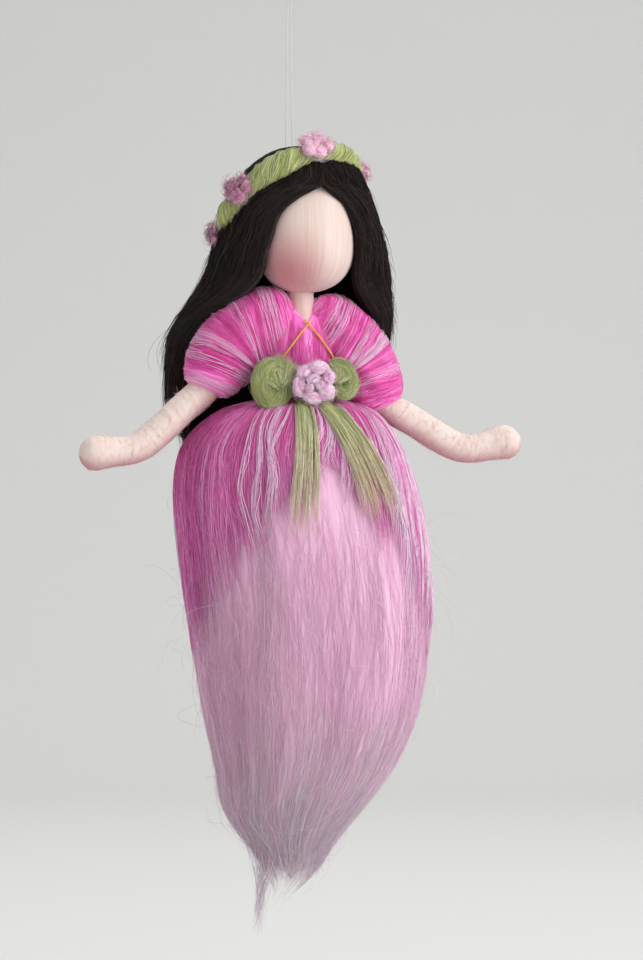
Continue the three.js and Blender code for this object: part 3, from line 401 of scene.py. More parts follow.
# The neck widens towards the chin and down to the collar, with shallow folds where it is gathered
neck_rows = [[0, 5.4], [0.2, 4.1], [0.42, 3.7], [0.7, 4.2], [1, 5.2]]
turn, share = np.meshgrid(round_of(48), np.linspace(1, 0, 24))
(neck_radius,) = eased(neck_rows, share)
neck_radius = neck_radius + 0.1 * np.sin(11 * turn) * share
neck_y = body_y - 0.6 - 3.4 * share**2.5 + neck_radius * np.sin(turn)
neck_z = chin_z + 6 - 17.0 * share
neck = capped(points_at(body_x + neck_radius * np.cos(turn), neck_y, neck_z))
neck_map = wool_map(turn * 13, 40 + share * 15, [40, 40], [40, 55])
head = make_piece(
    "head_felt", *joined([egg, neck]), skin_felt, np.concatenate([egg_map, neck_map]), (26 * np.pi, 0)
)
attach(head, "head")
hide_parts("head_skin")


def fibres(paths, radius, tint):
    """Points, faces and map of many fibres at once, each a three-sided tube along its own path.

    A fibre is thickest in its middle and closes in a point at both ends. It is drawn three to
    nine times as thick as a real one, so that it shows. On the map its tint is the first way
    and its length the second."""
    count, steps = paths.shape[:2]
    ahead = np.gradient(paths, axis=1)
    ahead /= np.maximum(np.linalg.norm(ahead, axis=2, keepdims=True), 1e-9)
    dice = np.random.default_rng(count + steps)
    across = np.cross(ahead, dice.normal(size=(count, 1, 3)))
    across /= np.maximum(np.linalg.norm(across, axis=2, keepdims=True), 1e-9)
    other = np.cross(ahead, across)
    along = np.linspace(0, 1, steps)
    shape = 0.25 + 0.75 * np.sin(np.pi * (along * 0.85 + 0.12))
    thick = radius * shape[None, 1:-1, None, None]
    angle = round_of(3)[None, None, :, None]
    ways = np.cos(angle) * across[:, 1:-1, None] + np.sin(angle) * other[:, 1:-1, None]
    rings = paths[:, 1:-1, None] + thick * ways
    own = 3 * (steps - 2) + 2
    points = np.concatenate([rings.reshape(count, -1, 3), paths[:, :1], paths[:, -1:]], 1)
    base = (np.arange(count) * own)[:, None, None]
    side = np.tile([-0.004, 0.0, 0.004], steps - 2)
    u = np.concatenate([side, [0, 0]])[None] + 0.012 + 0.976 * np.clip(tint, 0, 1).reshape(-1, 1)
    v = np.broadcast_to(np.concatenate([np.repeat(along[1:-1], 3), [0, 1]]), (count, own))
    uv = np.stack([u, 0.01 + 0.98 * v], -1).reshape(-1, 2)
    faces = [(part[None] + base).reshape(-1, part.shape[1]) for part in tube_faces(steps - 2, 3)]
    return points.reshape(-1, 3), faces, uv


def fibre_material(name, root_tones, end_tones=None, rough=0.7, sheen=0.3, shine=0.3):
    """Single fibres: each one's tint picks its colour, which changes from root to end."""
    made, tree, output = new_material(name)
    place = node(tree, "ShaderNodeUVMap", uv_map="OFBake")
    split = node(tree, "ShaderNodeSeparateXYZ", {"Vector": place.outputs["UV"]})
    ramps = []
    for tones in (root_tones, end_tones or root_tones):
        ramp = node(tree, "ShaderNodeValToRGB", {"Fac": split.outputs["X"]})
        for i, tone in enumerate(tones):
            at = i / (len(tones) - 1)
            elements = ramp.color_ramp.elements
            stop = elements[0] if i == 0 else elements[-1] if i == len(tones) - 1 else elements.new(at)
            stop.position = at
            stop.color = colour(tone)
        ramps.append(ramp)
    mixed = node(
        tree, "ShaderNodeMix",
        {0: split.outputs["Y"], 6: ramps[0].outputs["Color"], 7: ramps[1].outputs["Color"]},
        data_type="RGBA",
    )
    shader = node(
        tree, "ShaderNodeBsdfPrincipled",
        {
            "Base Color": mixed.outputs[2], "Roughness": rough, "Sheen Weight": sheen,
            "Specular IOR Level": shine,
        },
    )
    tree.links.new(shader.outputs["BSDF"], output.inputs["Surface"])
    return made


class Lot:
    """A lot of fibres to lay: their count, places along each from 0 to 1, and dice for what varies.

    What is drawn for each fibre is a column, so that with along it makes a row for each fibre."""

    def __init__(self, seed, count, steps):
        self.dice = np.random.default_rng(seed)
        self.count, self.steps = count, steps
        self.along = np.linspace(0, 1, steps)

    def even(self, low, high):
        """One value for each fibre, as likely anywhere from low to high."""
        return self.dice.uniform(low, high, (self.count, 1))

    def near(self, middle, spread):
        """One value for each fibre, on a bell curve round the middle."""
        return self.dice.normal(middle, spread, (self.count, 1))

    def rare(self, shape, size):
        """One value for each fibre, mostly small and now and then large."""
        return self.dice.gamma(shape, size, (self.count, 1))

    def lock(self, locks):
        """The number of the lock that each fibre lies in."""
        return self.dice.integers(0, locks, (self.count, 1))

    def sway(self, knots):
        """A random wave along each fibre: values at a few knots, joined by cosine steps."""
        values = self.dice.normal(size=(self.count, knots + 1))
        at = np.linspace(0, knots - 1e-6, self.steps)
        i = at.astype(int)
        part = (1 - np.cos(np.pi * (at - i))) / 2
        return values[:, i] * (1 - part) + values[:, i + 1] * part

    def curve(self, root, middle, end):
        """Each fibre from its root to its end by way of a middle: a quadratic curve."""
        t = self.along[:, None]
        return (1 - t) ** 2 * root + 2 * t * (1 - t) * middle + t**2 * end


def fibre_piece(name, paths, radius, tint, material, body):
    """Many fibres as one piece. It rides on the body where one is given."""
    points, faces, uv = fibres(paths, radius, tint)
    made = make_piece(name, points, faces, material, uv, map_name="OFBake")
    if body:
        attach(made, body)
    return made


# Loose ends that the needle left: short fine fibres, close to the felt's colour, that stand up
skin_fibre = fibre_material("loose_skin_merino", ["#D9BFB5", "#E4D0C7", "#EFE2DB"])
lot = Lot(11, 300, 7)
turns = lot.even(-np.pi * 0.95, -np.pi * 0.05) + 0.06 * lot.sway(2)
shares = lot.even(0.12, 0.97) + lot.along * lot.even(0.03, 0.14)
lifts = -0.12 + lot.along**2 * lot.even(0.05, 0.35) ** 1.5
fibre_piece(
    "head_loose_fibres", face_point(turns, np.clip(shares, 0, 0.995), lifts), 0.04, lot.even(0, 1),
    skin_fibre, "head",
)

# Hair: a hank of dark brown merino laid over the crown and needled there. It frames the face
# like a hood, falls behind the shoulders and thins out to loose ends over the back.

hair_rows = [
    [-45.6, 1.4, -1.5, 0.6, 1.0, 176, 190, 0.5], [-45.9, 1.3, -1.6, 5.2, 6.0, 176, 190, 4.5],
    [-47.2, 1.0, -1.8, 9.4, 10.4, 176, 190, 6.4], [-49.4, 0.7, -2.0, 12.6, 13.8, 176, 190, 6.4],
    [-52.6, 0.3, -2.0, 15.7, 16.2, 176, 190, 6.0], [-57.7, 0.0, -2.0, 18.3, 17.6, 174, 188, 5.6],
    [-58.0, 0.0, -1.9, 18.4, 17.7, 167, 183, 5.6], [-58.5, 0.0, -1.9, 18.7, 17.7, 161.5, 178.5, 5.6],
    [-59.3, -0.1, -1.8, 19.2, 17.8, 158, 173.5, 5.5], [-60.6, -0.2, -1.5, 19.9, 18.0, 154.5, 165.5, 5.5],
    [-62.2, -0.3, -1.2, 20.6, 18.2, 150.5, 159.5, 5.4],
    [-64.0, -0.3, -1.0, 21.3, 18.4, 147.2, 154.6, 5.4], [-67.1, -0.2, -0.8, 22.2, 18.5, 144, 149.6, 5.4],
    [-71.0, 0.2, -0.3, 23.2, 18.6, 143.3, 147, 5.6], [-76.0, 0.2, 0.6, 24.4, 18.4, 143.8, 144.2, 6.0],
    [-82.0, 0.0, 2.0, 25.9, 17.6, 145, 144, 7.0], [-87.0, -0.6, 4.4, 27.8, 16.6, 137, 138, 8.0],
    [-92.0, -1.4, 7.2, 30.0, 15.4, 117, 123, 8.0], [-98.0, -2.1, 10.8, 32.0, 13.8, 101, 111, 8.0],
    [-108.0, -2.2, 14.2, 32.4, 13.2, 91, 105, 8.0], [-118.0, -2.1, 17.2, 31.6, 12.8, 84, 100, 7.4],
    [-127.0, -1.6, 21.0, 27.2, 11.0, 79, 97, 6.0], [-134.0, -1.2, 23.4, 21.5, 8.6, 75, 93, 4.6],
    [-140.6, -0.5, 26.0, 6.5, 2.6, 70, 90, 2.0],
]
hair_top, hair_length = -45.6, 95.0


def hair_point(way, share, lift=0.0):
    """A point of the hair: at each height a horseshoe round the head, open over the face.

    way runs from the doll's left lip (0) round the outside to the right lip (pi) and back
    inside; a squared circle of arc and thickness rounds the lips. The table gives height,
    middle, half width and depth, degrees from the back to each lip, and thickness."""
    z = hair_top - hair_length * share
    x, y, wide, deep, left, right, thick = eased([[-r[0]] + r[1:] for r in hair_rows], -z)
    norm = (np.abs(np.cos(way)) ** 4 + np.abs(np.sin(way)) ** 4) ** 0.25
    arc = np.radians((left + right) / 2 * np.cos(way) / norm + (left - right) / 2)
    out = -thick / 2 + (thick / 2 + lift) * np.sin(way) / norm
    turn = np.pi / 2 - arc
    out = out + 0.3 * wave(5, (turn, 6), (share, 7)) * np.clip(share * 8, 0, 1)
    side = np.maximum(wide + out, 0.2)
    front = np.maximum(deep + out, 0.2)
    return points_at(body_x + x + side * np.cos(turn), body_y + y + front * np.sin(turn), z)


# Needled merino, nearly black: hardly any shine, a brown edge where light passes the fibres
hair_felt = felt_material(
    "dark_brown_merino", "#231816", "#19110F", "#110B0A", fibre_mm=0.35, run_mm=12.0, bump=0.35,
    sheen=0.0, shine=0.08,
)
# Its rows lie close together over the parting, where the outline turns fastest
parting, brow = 0.17, 0.115
rows = np.concatenate(
    [
        np.linspace(1, parting, 66), np.linspace(parting, brow, 30)[1:],
        brow * np.linspace(1, 0, 24)[1:] ** 1.15,
    ]
)
way, share = np.meshgrid(round_of(180), rows)
hair_map = wool_map(way * 17, share * hair_length, [50, 97], [50, 0])
hair = make_piece("hair_mass", *capped(hair_point(way, share)), hair_felt, hair_map, (34 * np.pi, 0))
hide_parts("hair_left", "hair_right", "hair_fall")

# Its single fibres: mostly as dark as the mass, a few of them brown
hair_fibre = fibre_material(
    "dark_brown_merino_fibre", ["#0D0807", "#1C1311", "#302320", "#5E4B43"], sheen=0.1, shine=0.1
)

hair_pieces = [hair]


def hair_piece(name, paths, radius, tint):
    """Fibres of the hair."""
    hair_pieces.append(fibre_piece(name, paths, radius, tint, hair_fibre, None))


# Fibres that run from the crown down, nearly parallel, in locks, their ends standing off a little.
# Each lot has the ways between which it lies, its dice, and how far its ends fly
for name, count, low, high, seed, fly in (
    ("hair_fibres_left", 1500, 0.1, 1.25, 21, 1.2), ("hair_fibres_back", 900, 1.0, 2.15, 22, 1.4),
    ("hair_fibres_right", 1500, 1.9, 3.04, 23, 1.2),
):
    lot, locks = Lot(seed, count, 12), 90
    lock_way = lot.dice.uniform(low, high, locks)
    which = lot.lock(locks)
    ways = np.clip(lock_way[which] + lot.near(0, 0.05), low, high) + 0.035 * lot.sway(3)
    start = lot.even(0.0, 0.55) ** 1.5
    end = np.clip(start + lot.even(0.22, 0.6), 0, 1.0)
    shares = start + (end - start) * lot.along
    lifts = 0.15 + 0.35 * lot.sway(3) + fly * lot.along**3 * lot.rare(1.2, 0.5)
    tint = 0.35 + 0.2 * lot.dice.normal(size=locks)[which] + 0.15 * lot.near(0, 1)
    hair_piece(name, hair_point(ways, shares, lifts), 0.09, tint)

# Fine stray hairs that stand off the mass all round
lot = Lot(29, 700, 12)
ways = lot.even(0.15, 2.99) + lot.along * lot.near(0, 0.12)
start = lot.even(0.05, 0.8)
shares = np.clip(start + lot.along * lot.even(0.03, 0.22), 0, 1.0)
lifts = np.sin(np.pi * lot.along * lot.even(0.4, 1.0)) * lot.dice.gamma(1.6, 0.4 + 0.7 * start)
hair_piece("hair_stray_fibres", hair_point(ways, shares, lifts), 0.045, lot.even(0.3, 1))

# Short curly ends that make its outline soft
lot = Lot(lot.dice, 1400, 8)
ways = lot.even(0.02, 3.12) + 0.075 * lot.along * lot.sway(3)
shares = lot.even(0.02, 0.97) + 0.022 * lot.along * lot.sway(2) + lot.along * lot.near(0.01, 0.02)
lifts = -0.1 + lot.along * lot.rare(1.8, 0.42) + 0.15 * lot.along * lot.sway(2)
fuzz = hair_point(ways, np.clip(shares, 0, 1), lifts)
hair_piece("hair_fuzz", fuzz, 0.045, lot.even(0.35, 1) ** 1.3)

# Past the mass the hair thins out to ends of uneven length that hang straight down
lot = Lot(lot.dice, 520, 8)
along = lot.along[:, None]
root = hair_point(lot.even(0.15, 2.99), lot.even(0.84, 0.97), lot.near(-0.3, 0.3))
fall = np.concatenate([lot.dice.normal(0, 0.9, (lot.count, 2)), -lot.even(3.5, 11.0)], 1)
paths = root + along * fall[:, None] + 0.25 * along * points_at(lot.sway(2), lot.sway(2), 0)
hair_piece("hair_end_fibres", paths, 0.06, lot.even(0.1, 0.7))
for piece in hair_pieces:
    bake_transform(piece)

# Wreath: a rope of green wool wound on itself in bulges, laid over the hair and tipped back,
# with small needled flowers sewn along it.

wreath_basis = turned(head_turn, "z") @ turned(-38, "x") @ turned(-12, "y")
wreath_half_width, wreath_half_depth = 20.0, 21.2
rope_half_depth, rope_half_height = 2.3, 2.75
wreath_centre = in_head(-2.4, 1.5, -61.6)
# Degrees from the front to each flower, and the radius of those that aren't 4.5
wreath_flower_turns = (-115, -67, 0, 68, 112, 156, -160)
blossom_radius = {0: 6.1, -67: 5.2, 68: 3.2}


def wreath_point(turn, out=0.0, tall=0.0):
    """The wreath's oval: turn runs from the front towards the doll's left, tipped and rolled."""
    angle = turn - np.pi / 2
    flat = points_at(
        (wreath_half_width + out) * np.cos(angle), (wreath_half_depth + out) * np.sin(angle), tall
    )
    return wreath_centre + flat @ wreath_basis.T


def band_point(turn, around, lift=0.0):
    """The rope: round the oval a section about 2.7 mm high and 2.3 mm deep, measured from its middle.

    It is drawn in under each flower and swells from thirty degrees beside it. The wound wool
    stands in low ridges that run round it askew."""
    away = np.abs((np.degrees(turn)[..., None] - wreath_flower_turns + 180) % 360 - 180).min(-1)
    rise = np.clip(away / 30, 0, 1)
    swell = 1 + 0.4 * (rise**2 * (3 - 2 * rise) - 0.45) + 0.03 * wave(8, (around, 3), (turn, 9))
    ridge = 0.13 * np.sin(3 * around - 36 * turn) + lift
    out, tall = rope_half_depth * swell + ridge, rope_half_height * swell + ridge
    return wreath_point(turn, out * np.cos(around), tall * np.sin(around))


def looped_grid(rings):
    """Points and faces of a ring-shaped surface: the grid closes on itself both ways."""
    rows, sides = rings.shape[:2]
    here = np.arange(rows * sides).reshape(rows, sides)
    beside, ahead = np.roll(here, -1, 1), np.roll(here, -1, 0)
    both = np.roll(ahead, -1, 1)
    return rings.reshape(-1, 3), [np.stack([here, beside, both, ahead], -1).reshape(-1, 4)]


# Green Corriedale: coarser and glossier than the pink, olive where the fibres lie deep
green_felt = felt_material(
    "green_corriedale", "#C6CC8E", "#A2AC66", "#6C7640", fibre_mm=0.35, run_mm=8.0, bump=0.25, sheen=0.3
)
around, turn = np.meshgrid(round_of(26, -np.pi), round_of(240))
band_map = wool_map(turn * 21 + around * 1.9, around * 2.5)
band = make_piece(
    "wreath_rope", *looped_grid(band_point(turn, -around)), green_felt, band_map, (42 * np.pi, 5 * np.pi)
)
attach(band, "head")
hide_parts("wreath_band")

# Its single fibres: slightly glossy, from olive to nearly cream
green_fibre = fibre_material(
    "green_corriedale_fibre", ["#6A733A", "#A0A862", "#C7CC8E", "#EAEBC8"], rough=0.5, sheen=0.35
)
lot = Lot(31, 1400, 11)
turns = lot.even(0, 2 * np.pi) + lot.along * lot.even(0.2, 0.42)
arounds = lot.even(0, 2 * np.pi) + lot.along * lot.even(1.8, 3.2)
paths = band_point(turns, arounds, 0.1 + 0.14 * lot.sway(3))
tint = lot.dice.beta(1.1, 1.1, lot.count)
fibre_piece("wreath_fibres", paths, 0.075, tint, green_fibre, "head")


def ball_grid(rows, columns):
    """Unit directions over a ball, from its bottom pole to its top pole."""
    turn, rise = np.meshgrid(round_of(columns), np.linspace(-np.pi / 2, np.pi / 2, rows + 2)[1:-1])
    return points_at(np.cos(turn) * np.cos(rise), np.sin(turn) * np.cos(rise), np.sin(rise))


def frame_on(normal, roll=0.0):
    """Three axes as columns: the last is the normal, and the others are turned by roll degrees."""
    normal = np.asarray(normal, float) / np.linalg.norm(normal)
    across = np.cross([0.0, 0.0, 1.0] if abs(normal[2]) < 0.9 else [0.0, 1.0, 0.0], normal)
    across /= np.linalg.norm(across)
    return np.stack([across, np.cross(normal, across), normal], -1) @ turned(roll, "z")


def curled_lumps(curls, seed):
    """Closed lumps on the plane z = 0, each a short roll of wool: a groove winds over it.

    A curl is its middle across and up, half length, half width, the degrees its length is
    turned by, and its height. Returns points, faces and map."""
    ball = ball_grid(16, 24)
    dip = ball @ (np.array([0.35, -0.5, 0.8]) / 1.006)
    groove = 0.3 * np.exp(-(((dip - 0.62 - 0.2 * ball[..., 0]) / 0.13) ** 2))
    groove = groove + 0.16 * np.exp(-(((dip - 0.05 + 0.3 * ball[..., 1]) / 0.12) ** 2))
    lumps, maps = [], []
    for number, (x, y, half_length, half_width, degrees, height) in enumerate(curls):
        spot = ball * [half_length, half_width, half_width * 0.95]
        bumps = 0.06 * wave(seed + number, (ball[..., 0], 3), (ball[..., 1], 4), (ball[..., 2], 3))
        grooved = spot * (1 - groove + bumps)[..., None]
        lumps.append(capped(grooved @ turned(degrees, "z").T + [x, y, height]))
        maps.append(wool_map(spot[..., 1] + spot[..., 2], spot[..., 0], [0, 0], [0, 1]) + 9 * number)
    return *joined(lumps), np.concatenate(maps)


def blossom_curls(radius, seed):
    """The curls of a wreath flower: five uneven ones in a ring, two on top in the middle."""
    dice = np.random.default_rng(seed)
    curls = []
    for k in range(7):
        ring = k < 5
        turn = 2 * np.pi * k / 5 + dice.normal(0, 0.22) if ring else dice.uniform(0, 2 * np.pi)
        away = radius * (dice.uniform(0.46, 0.62) if ring else 0.17)
        size = radius * dice.uniform(0.85, 1.2) * (0.42 if ring else 0.3)
        half_width = size * dice.uniform(0.68, 0.9)
        degrees = math.degrees(turn) + dice.normal(60, 35)
        height = dice.uniform(0.8, 1.5) if ring else 2.3
        curls.append((away * math.cos(turn), away * math.sin(turn), size, half_width, degrees, height))
    return curls


# Pink wool needled loosely: mottled soft lumps, with short down of the same wool
flower_felts = {
    "pale": felt_material(
        "pale_pink_wool_felt", "#F3CBDD", "#E6AEC8", "#C67F9F", fibre_mm=0.3, run_mm=1.6, bump=0.7,
        sheen=0.4,
    ),
    "dusky": felt_material(
        "dusky_pink_wool_felt", "#D79DB6", "#B97A98", "#8A4F6E", fibre_mm=0.3, run_mm=1.6, bump=0.7,
        sheen=0.4,
    ),
}
flower_fibres = {
    "pale": fibre_material("pale_pink_wool_fibre", ["#D79AB5", "#EDC1D3", "#FAE3EC"], sheen=0.5),
    "dusky": fibre_material("dusky_pink_wool_fibre", ["#94587A", "#B87C99", "#DDAEC3"], sheen=0.5),
}


def down_on(points, count, length, seed):
    """Short curled fibres that start at random points of a lump and stand off it a little."""
    dice = np.random.default_rng(seed)
    middle = points.mean(0)
    root = points[dice.integers(0, len(points), count)]
    out = root - middle
    out /= np.linalg.norm(out, axis=1, keepdims=True) + 1e-9
    side = np.cross(out, dice.normal(size=out.shape))
    side /= np.linalg.norm(side, axis=1, keepdims=True) + 1e-9
    other = np.cross(out, side)
    along = np.linspace(0, 1, 7)[None, :, None]
    bend = dice.uniform(1.0, 5.0, (count, 1, 1))
    size = length * dice.uniform(0.5, 1.3, (count, 1, 1))
    curl = np.cos(bend * along) * side[:, None] + np.sin(bend * along) * other[:, None]
    return root[:, None] + size * along * (curl + 0.5 * out[:, None])


for number, degrees in enumerate(wreath_flower_turns, 1):
    kind = "dusky" if degrees in (-67, -115, 156) else "pale"
    seat = wreath_point(np.radians(degrees), 0.8)
    outward = wreath_point(np.radians(degrees), 1.0) - wreath_point(np.radians(degrees))
    lifted = outward + [0, 0, 0.45]
    lifted /= np.linalg.norm(lifted)
    radius = blossom_radius.get(degrees, 4.5)
    points, faces, uv = curled_lumps(blossom_curls(radius, 40 + number), 300 + 9 * number)
    points = seat + 0.6 * lifted + points @ frame_on(lifted, degrees).T
    flower = make_piece("wreath_blossom_%d" % number, points, faces, flower_felts[kind], uv)
    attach(flower, "head")
    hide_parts("wreath_flower_%d" % number)
    fibre_piece(
        "wreath_blossom_down_%d" % number, down_on(points, 460, 1.9, 50 + number), 0.045,
        np.random.default_rng(number).uniform(0, 1, 460), flower_fibres[kind], "head",
    )

# Cores: the head's ball with its neck and the body's column, both of carded wool wound tight, and
# the bendable wire that runs through the chest into both arms. The other layers hide them all.

# Carded white wool, wound tight: only seen where the layers over it part
core_felt, tree, output = new_material("carded_white_wool")
place = node(tree, "ShaderNodeTexCoord")
grain = node(
    tree, "ShaderNodeMapping", {"Vector": place.outputs["Object"], "Scale": (900.0, 900.0, 120.0)}
)
streak = node(
    tree, "ShaderNodeTexNoise", {"Vector": grain.outputs["Vector"], "Scale": 1.0, "Detail": 3.0}
)
tones = node(tree, "ShaderNodeValToRGB", {"Fac": streak.outputs["Fac"]})
tones.color_ramp.elements[0].color = colour("#D9D0C4")
tones.color_ramp.elements[1].color = colour("#F6F1EA")
shader = node(tree, "ShaderNodeBsdfPrincipled", {"Base Color": tones.outputs["Color"], "Roughness": 0.9})
tree.links.new(shader.outputs["BSDF"], output.inputs["Surface"])

# Galvanised binding wire, 1 mm: dull grey with faint drawn lines
wire_metal, tree, output = new_material("galvanised_binding_wire")
place = node(tree, "ShaderNodeTexCoord")
grain = node(
    tree, "ShaderNodeMapping", {"Vector": place.outputs["Object"], "Scale": (400.0, 400.0, 2500.0)}
)
streak = node(
    tree, "ShaderNodeTexNoise", {"Vector": grain.outputs["Vector"], "Scale": 1.0, "Detail": 2.0}
)
rough = node(tree, "ShaderNodeMapRange", {"Value": streak.outputs["Fac"], "To Min": 0.3, "To Max": 0.55})
shader = node(
    tree, "ShaderNodeBsdfPrincipled",
    {"Base Color": colour("#B4B5B2"), "Metallic": 1.0, "Roughness": rough.outputs["Result"]},
)
tree.links.new(shader.outputs["BSDF"], output.inputs["Surface"])

for name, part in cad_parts.items():
    if name in ("head_core", "torso_core"):
        part.material_slots[0].material = core_felt
    elif name.endswith("_wire"):
        part.material_slots[0].material = wire_metal

# Bodice: hot pink merino laid straight down the chest from the V of the neck, and tied round the
# waist under the sash.

bodice_rows = [
    [0, 0.42, 0.5], [0.1, 0.6, 0.64], [0.25, 0.82, 0.8], [0.48, 1, 0.97], [0.75, 0.92, 0.94],
    [1, 0.767, 0.808],
]
bodice_bottom = waist_z + 0.3
chest_half_width, chest_half_depth = 12.0, 10.4


def bodice_point(turn, z, lift=0.0):
    """The chest: level ovals as wide and deep as the table says for their height."""
    wide, deep = eased(bodice_rows, (collar_z - z) / (collar_z - bodice_bottom))
    out, front = chest_half_width * wide + lift, chest_half_depth * deep + lift
    return points_at(body_x + out * np.cos(turn), body_y + front * np.sin(turn), z)


def neckline(turn):
    """Height of the bodice's top: level behind, and down to a V in front."""
    across = np.abs(np.cos(turn))
    drop = 3.0 * np.clip((0.95 - across) / 0.3, 0, 1) + 5.6 * np.clip(1 - across / 0.6, 0, 1)
    return collar_z - drop * (np.sin(turn) < 0)


# Hot pink merino top: smooth and long-fibred, with strands of pale pink carded in
pink_felt = felt_material(
    "hot_pink_merino", "#FFACEC", "#FF84D8", "#F25EC0", fibre_mm=0.4, run_mm=14.0, bump=0.2, sheen=0.35
)
turn, share = np.meshgrid(round_of(90), np.linspace(0, 1, 50))
z = bodice_bottom + (neckline(turn) - bodice_bottom) * share
chest = capped(bodice_point(turn, z, 0.15 * wave(61, (turn, 7))))
bodice_map = wool_map(turn * 11, z, [30, -110], [30, -90])
bodice = make_piece("bodice_wool", *chest, pink_felt, bodice_map, (22 * np.pi, 0))
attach(bodice, "torso")
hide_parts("bodice")

# Its single fibres: from deep pink to the pale pink that was carded in
pink_fibre = fibre_material(
    "hot_pink_merino_fibre", ["#DA349C", "#FA60C2", "#FCA2DE", "#FDE2F5"], sheen=0.3
)
lot = Lot(63, 600, 10)
turns = lot.even(-np.pi * 0.85, -np.pi * 0.15) + 0.05 * lot.sway(2)
tops = neckline(turns[:, :1]) - lot.even(0, 12) ** 1.1
drops = np.maximum(tops - lot.along * lot.even(5, 18), bodice_bottom - 1)
paths = bodice_point(turns, drops, 0.15 + 0.12 * lot.sway(2))
tint = 0.36 + 0.11 * wave(64, (turns[:, :1], 24)) + lot.near(0, 0.07)
fibre_piece("bodice_fibres", paths, 0.065, tint, pink_fibre, "torso")

# Sleeves: each a thick lock of the same wool, wound over the shoulder and round the arm. Its
# fibres fan out from the armpit over the puff, and it stops at a soft cuff on the arm.

arm_side = {"left": 1, "right": -1}
arm_pivot = {"left": np.array([24.4, -5.0, -116.2]), "right": np.array([-24.0, -5.0, -112.0])}
sleeve_bulge = {"left": 3.6, "right": 6.0}
sleeve_half_height, sleeve_half_depth = 9.7, 9.3
armpit_share = 0.62
sleeve_rows = [
    [0, 0.36], [0.05, 0.6], [0.16, 0.82], [0.38, 0.97], [0.62, 1], [0.8, 0.93], [0.93, 0.78], [1, 0.56]
]


def sleeve_point(name, share, around, lift=0.0):
    """The puff: ovals along a curve from neck to cuff, drawn together on the armpit's side.

    around is 0 over the shoulder. The shares crowd towards the armpit's, so that lines
    of one share fan out from there."""
    side = arm_side[name]
    start = np.array([body_x + side * 3.4, body_y - 1.0, -89.6])
    way = arm_pivot[name] - start
    way /= np.linalg.norm(way)
    end = arm_pivot[name] + 2.2 * way
    outward = np.array([-way[2] * side, 0.0, way[0] * side])
    bulge = (start + end) / 2 + sleeve_bulge[name] * outward
    inner = (1 - np.cos(around)) / 2
    s = (share + 0.85 * inner * (armpit_share - share) * 4 * share * (1 - share))[..., None]
    centre = (1 - s) ** 2 * start + 2 * s * (1 - s) * bulge + s * s * end
    ahead = 2 * (1 - s) * (bulge - start) + 2 * s * (end - bulge)
    ahead /= np.linalg.norm(ahead, axis=-1, keepdims=True)
    across = outward - ahead * (ahead @ outward)[..., None]
    across /= np.linalg.norm(across, axis=-1, keepdims=True)
    other = np.cross(ahead, across)
    (size,) = eased(sleeve_rows, s[..., 0])
    soft = 0.35 * wave(71 + side, (around, 6), (share, 9)) * np.sin(np.pi * np.clip(share, 0, 1)) ** 0.5
    high = sleeve_half_height * size + lift + soft
    fuller = 1 + 0.2 * np.exp(-((s[..., 0] / 0.28) ** 2))
    deep = sleeve_half_depth * size * fuller + lift + soft
    ring = (high * np.cos(around))[..., None] * across + (deep * np.sin(around))[..., None] * other
    return centre + ring


# The same wool in thick locks: broad streaks from deep to pale pink
sleeve_felt = felt_material(
    "hot_and_pale_pink_merino", "#FBACE4", "#F468C4", "#D83EA2", fibre_mm=0.5, run_mm=18.0, bump=0.2,
    sheen=0.4,
)
for name in ("left", "right"):
    around, share = np.meshgrid(round_of(96, -np.pi), np.linspace(0, 1, 70))
    puff = capped(sleeve_point(name, share, around))
    sleeve_map = wool_map(share * 34, around * 9, [0, 0], [34, 0])
    sleeve = make_piece(name + "_sleeve_wool", *puff, sleeve_felt, sleeve_map, (0, 18 * np.pi))
    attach(sleeve, "torso")
    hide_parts(name + "_sleeve")

    lot, locks = Lot(73 + arm_side[name], 1600, 12), 26
    which = lot.lock(locks)
    middle = lot.even(-np.pi, np.pi)
    sector = np.floor((middle + np.pi + 0.7 * which) / 2.1).astype(int) % 3
    lock_tones = lot.dice.choice([0.06, 0.24, 0.45, 0.84], (locks, 3), p=[0.26, 0.3, 0.18, 0.26])
    lock_tint = lock_tones[which, sector]
    lock_share = np.linspace(0.03, 0.97, locks) + lot.dice.normal(0, 0.01, locks)
    shares = lock_share[which] + lot.near(0, 0.017) + 0.01 * lot.sway(2)
    arounds = middle + (lot.along - 0.5) * lot.even(1.0, 2.6)
    lifts = 0.1 + 0.3 * (lock_tint > 0.7) + 0.14 * lot.sway(3)
    paths = sleeve_point(name, np.clip(shares, 0.004, 0.99), arounds, lifts)
    tint = lock_tint + lot.near(0, 0.09)
    fibre_piece(name + "_sleeve_fibres", paths, 0.075, tint, pink_fibre, "torso")

# Arms: skin-coloured wool wound round the wire from the shoulder to a rounded hand and needled
# firm. Each is bent at the elbow.

# Degrees by which the upper arm hangs below level, and by which the elbow turns the forearm up
arm_drop = {"left": 31.0, "right": 41.5}
arm_bend = {"left": 42.0, "right": 37.0}
arm_forward = 7
arm_rows = [[-1, 3.9], [6, 4.1], [16, 4.2], [27, 4.1], [33, 4.0], [37, 4.3], [40.5, 4.7]]
upper_arm_reach, forearm_reach = 27.6, 12.9
arm_length = upper_arm_reach + forearm_reach
hand_reach = 4.4
bend_reach = 7.0


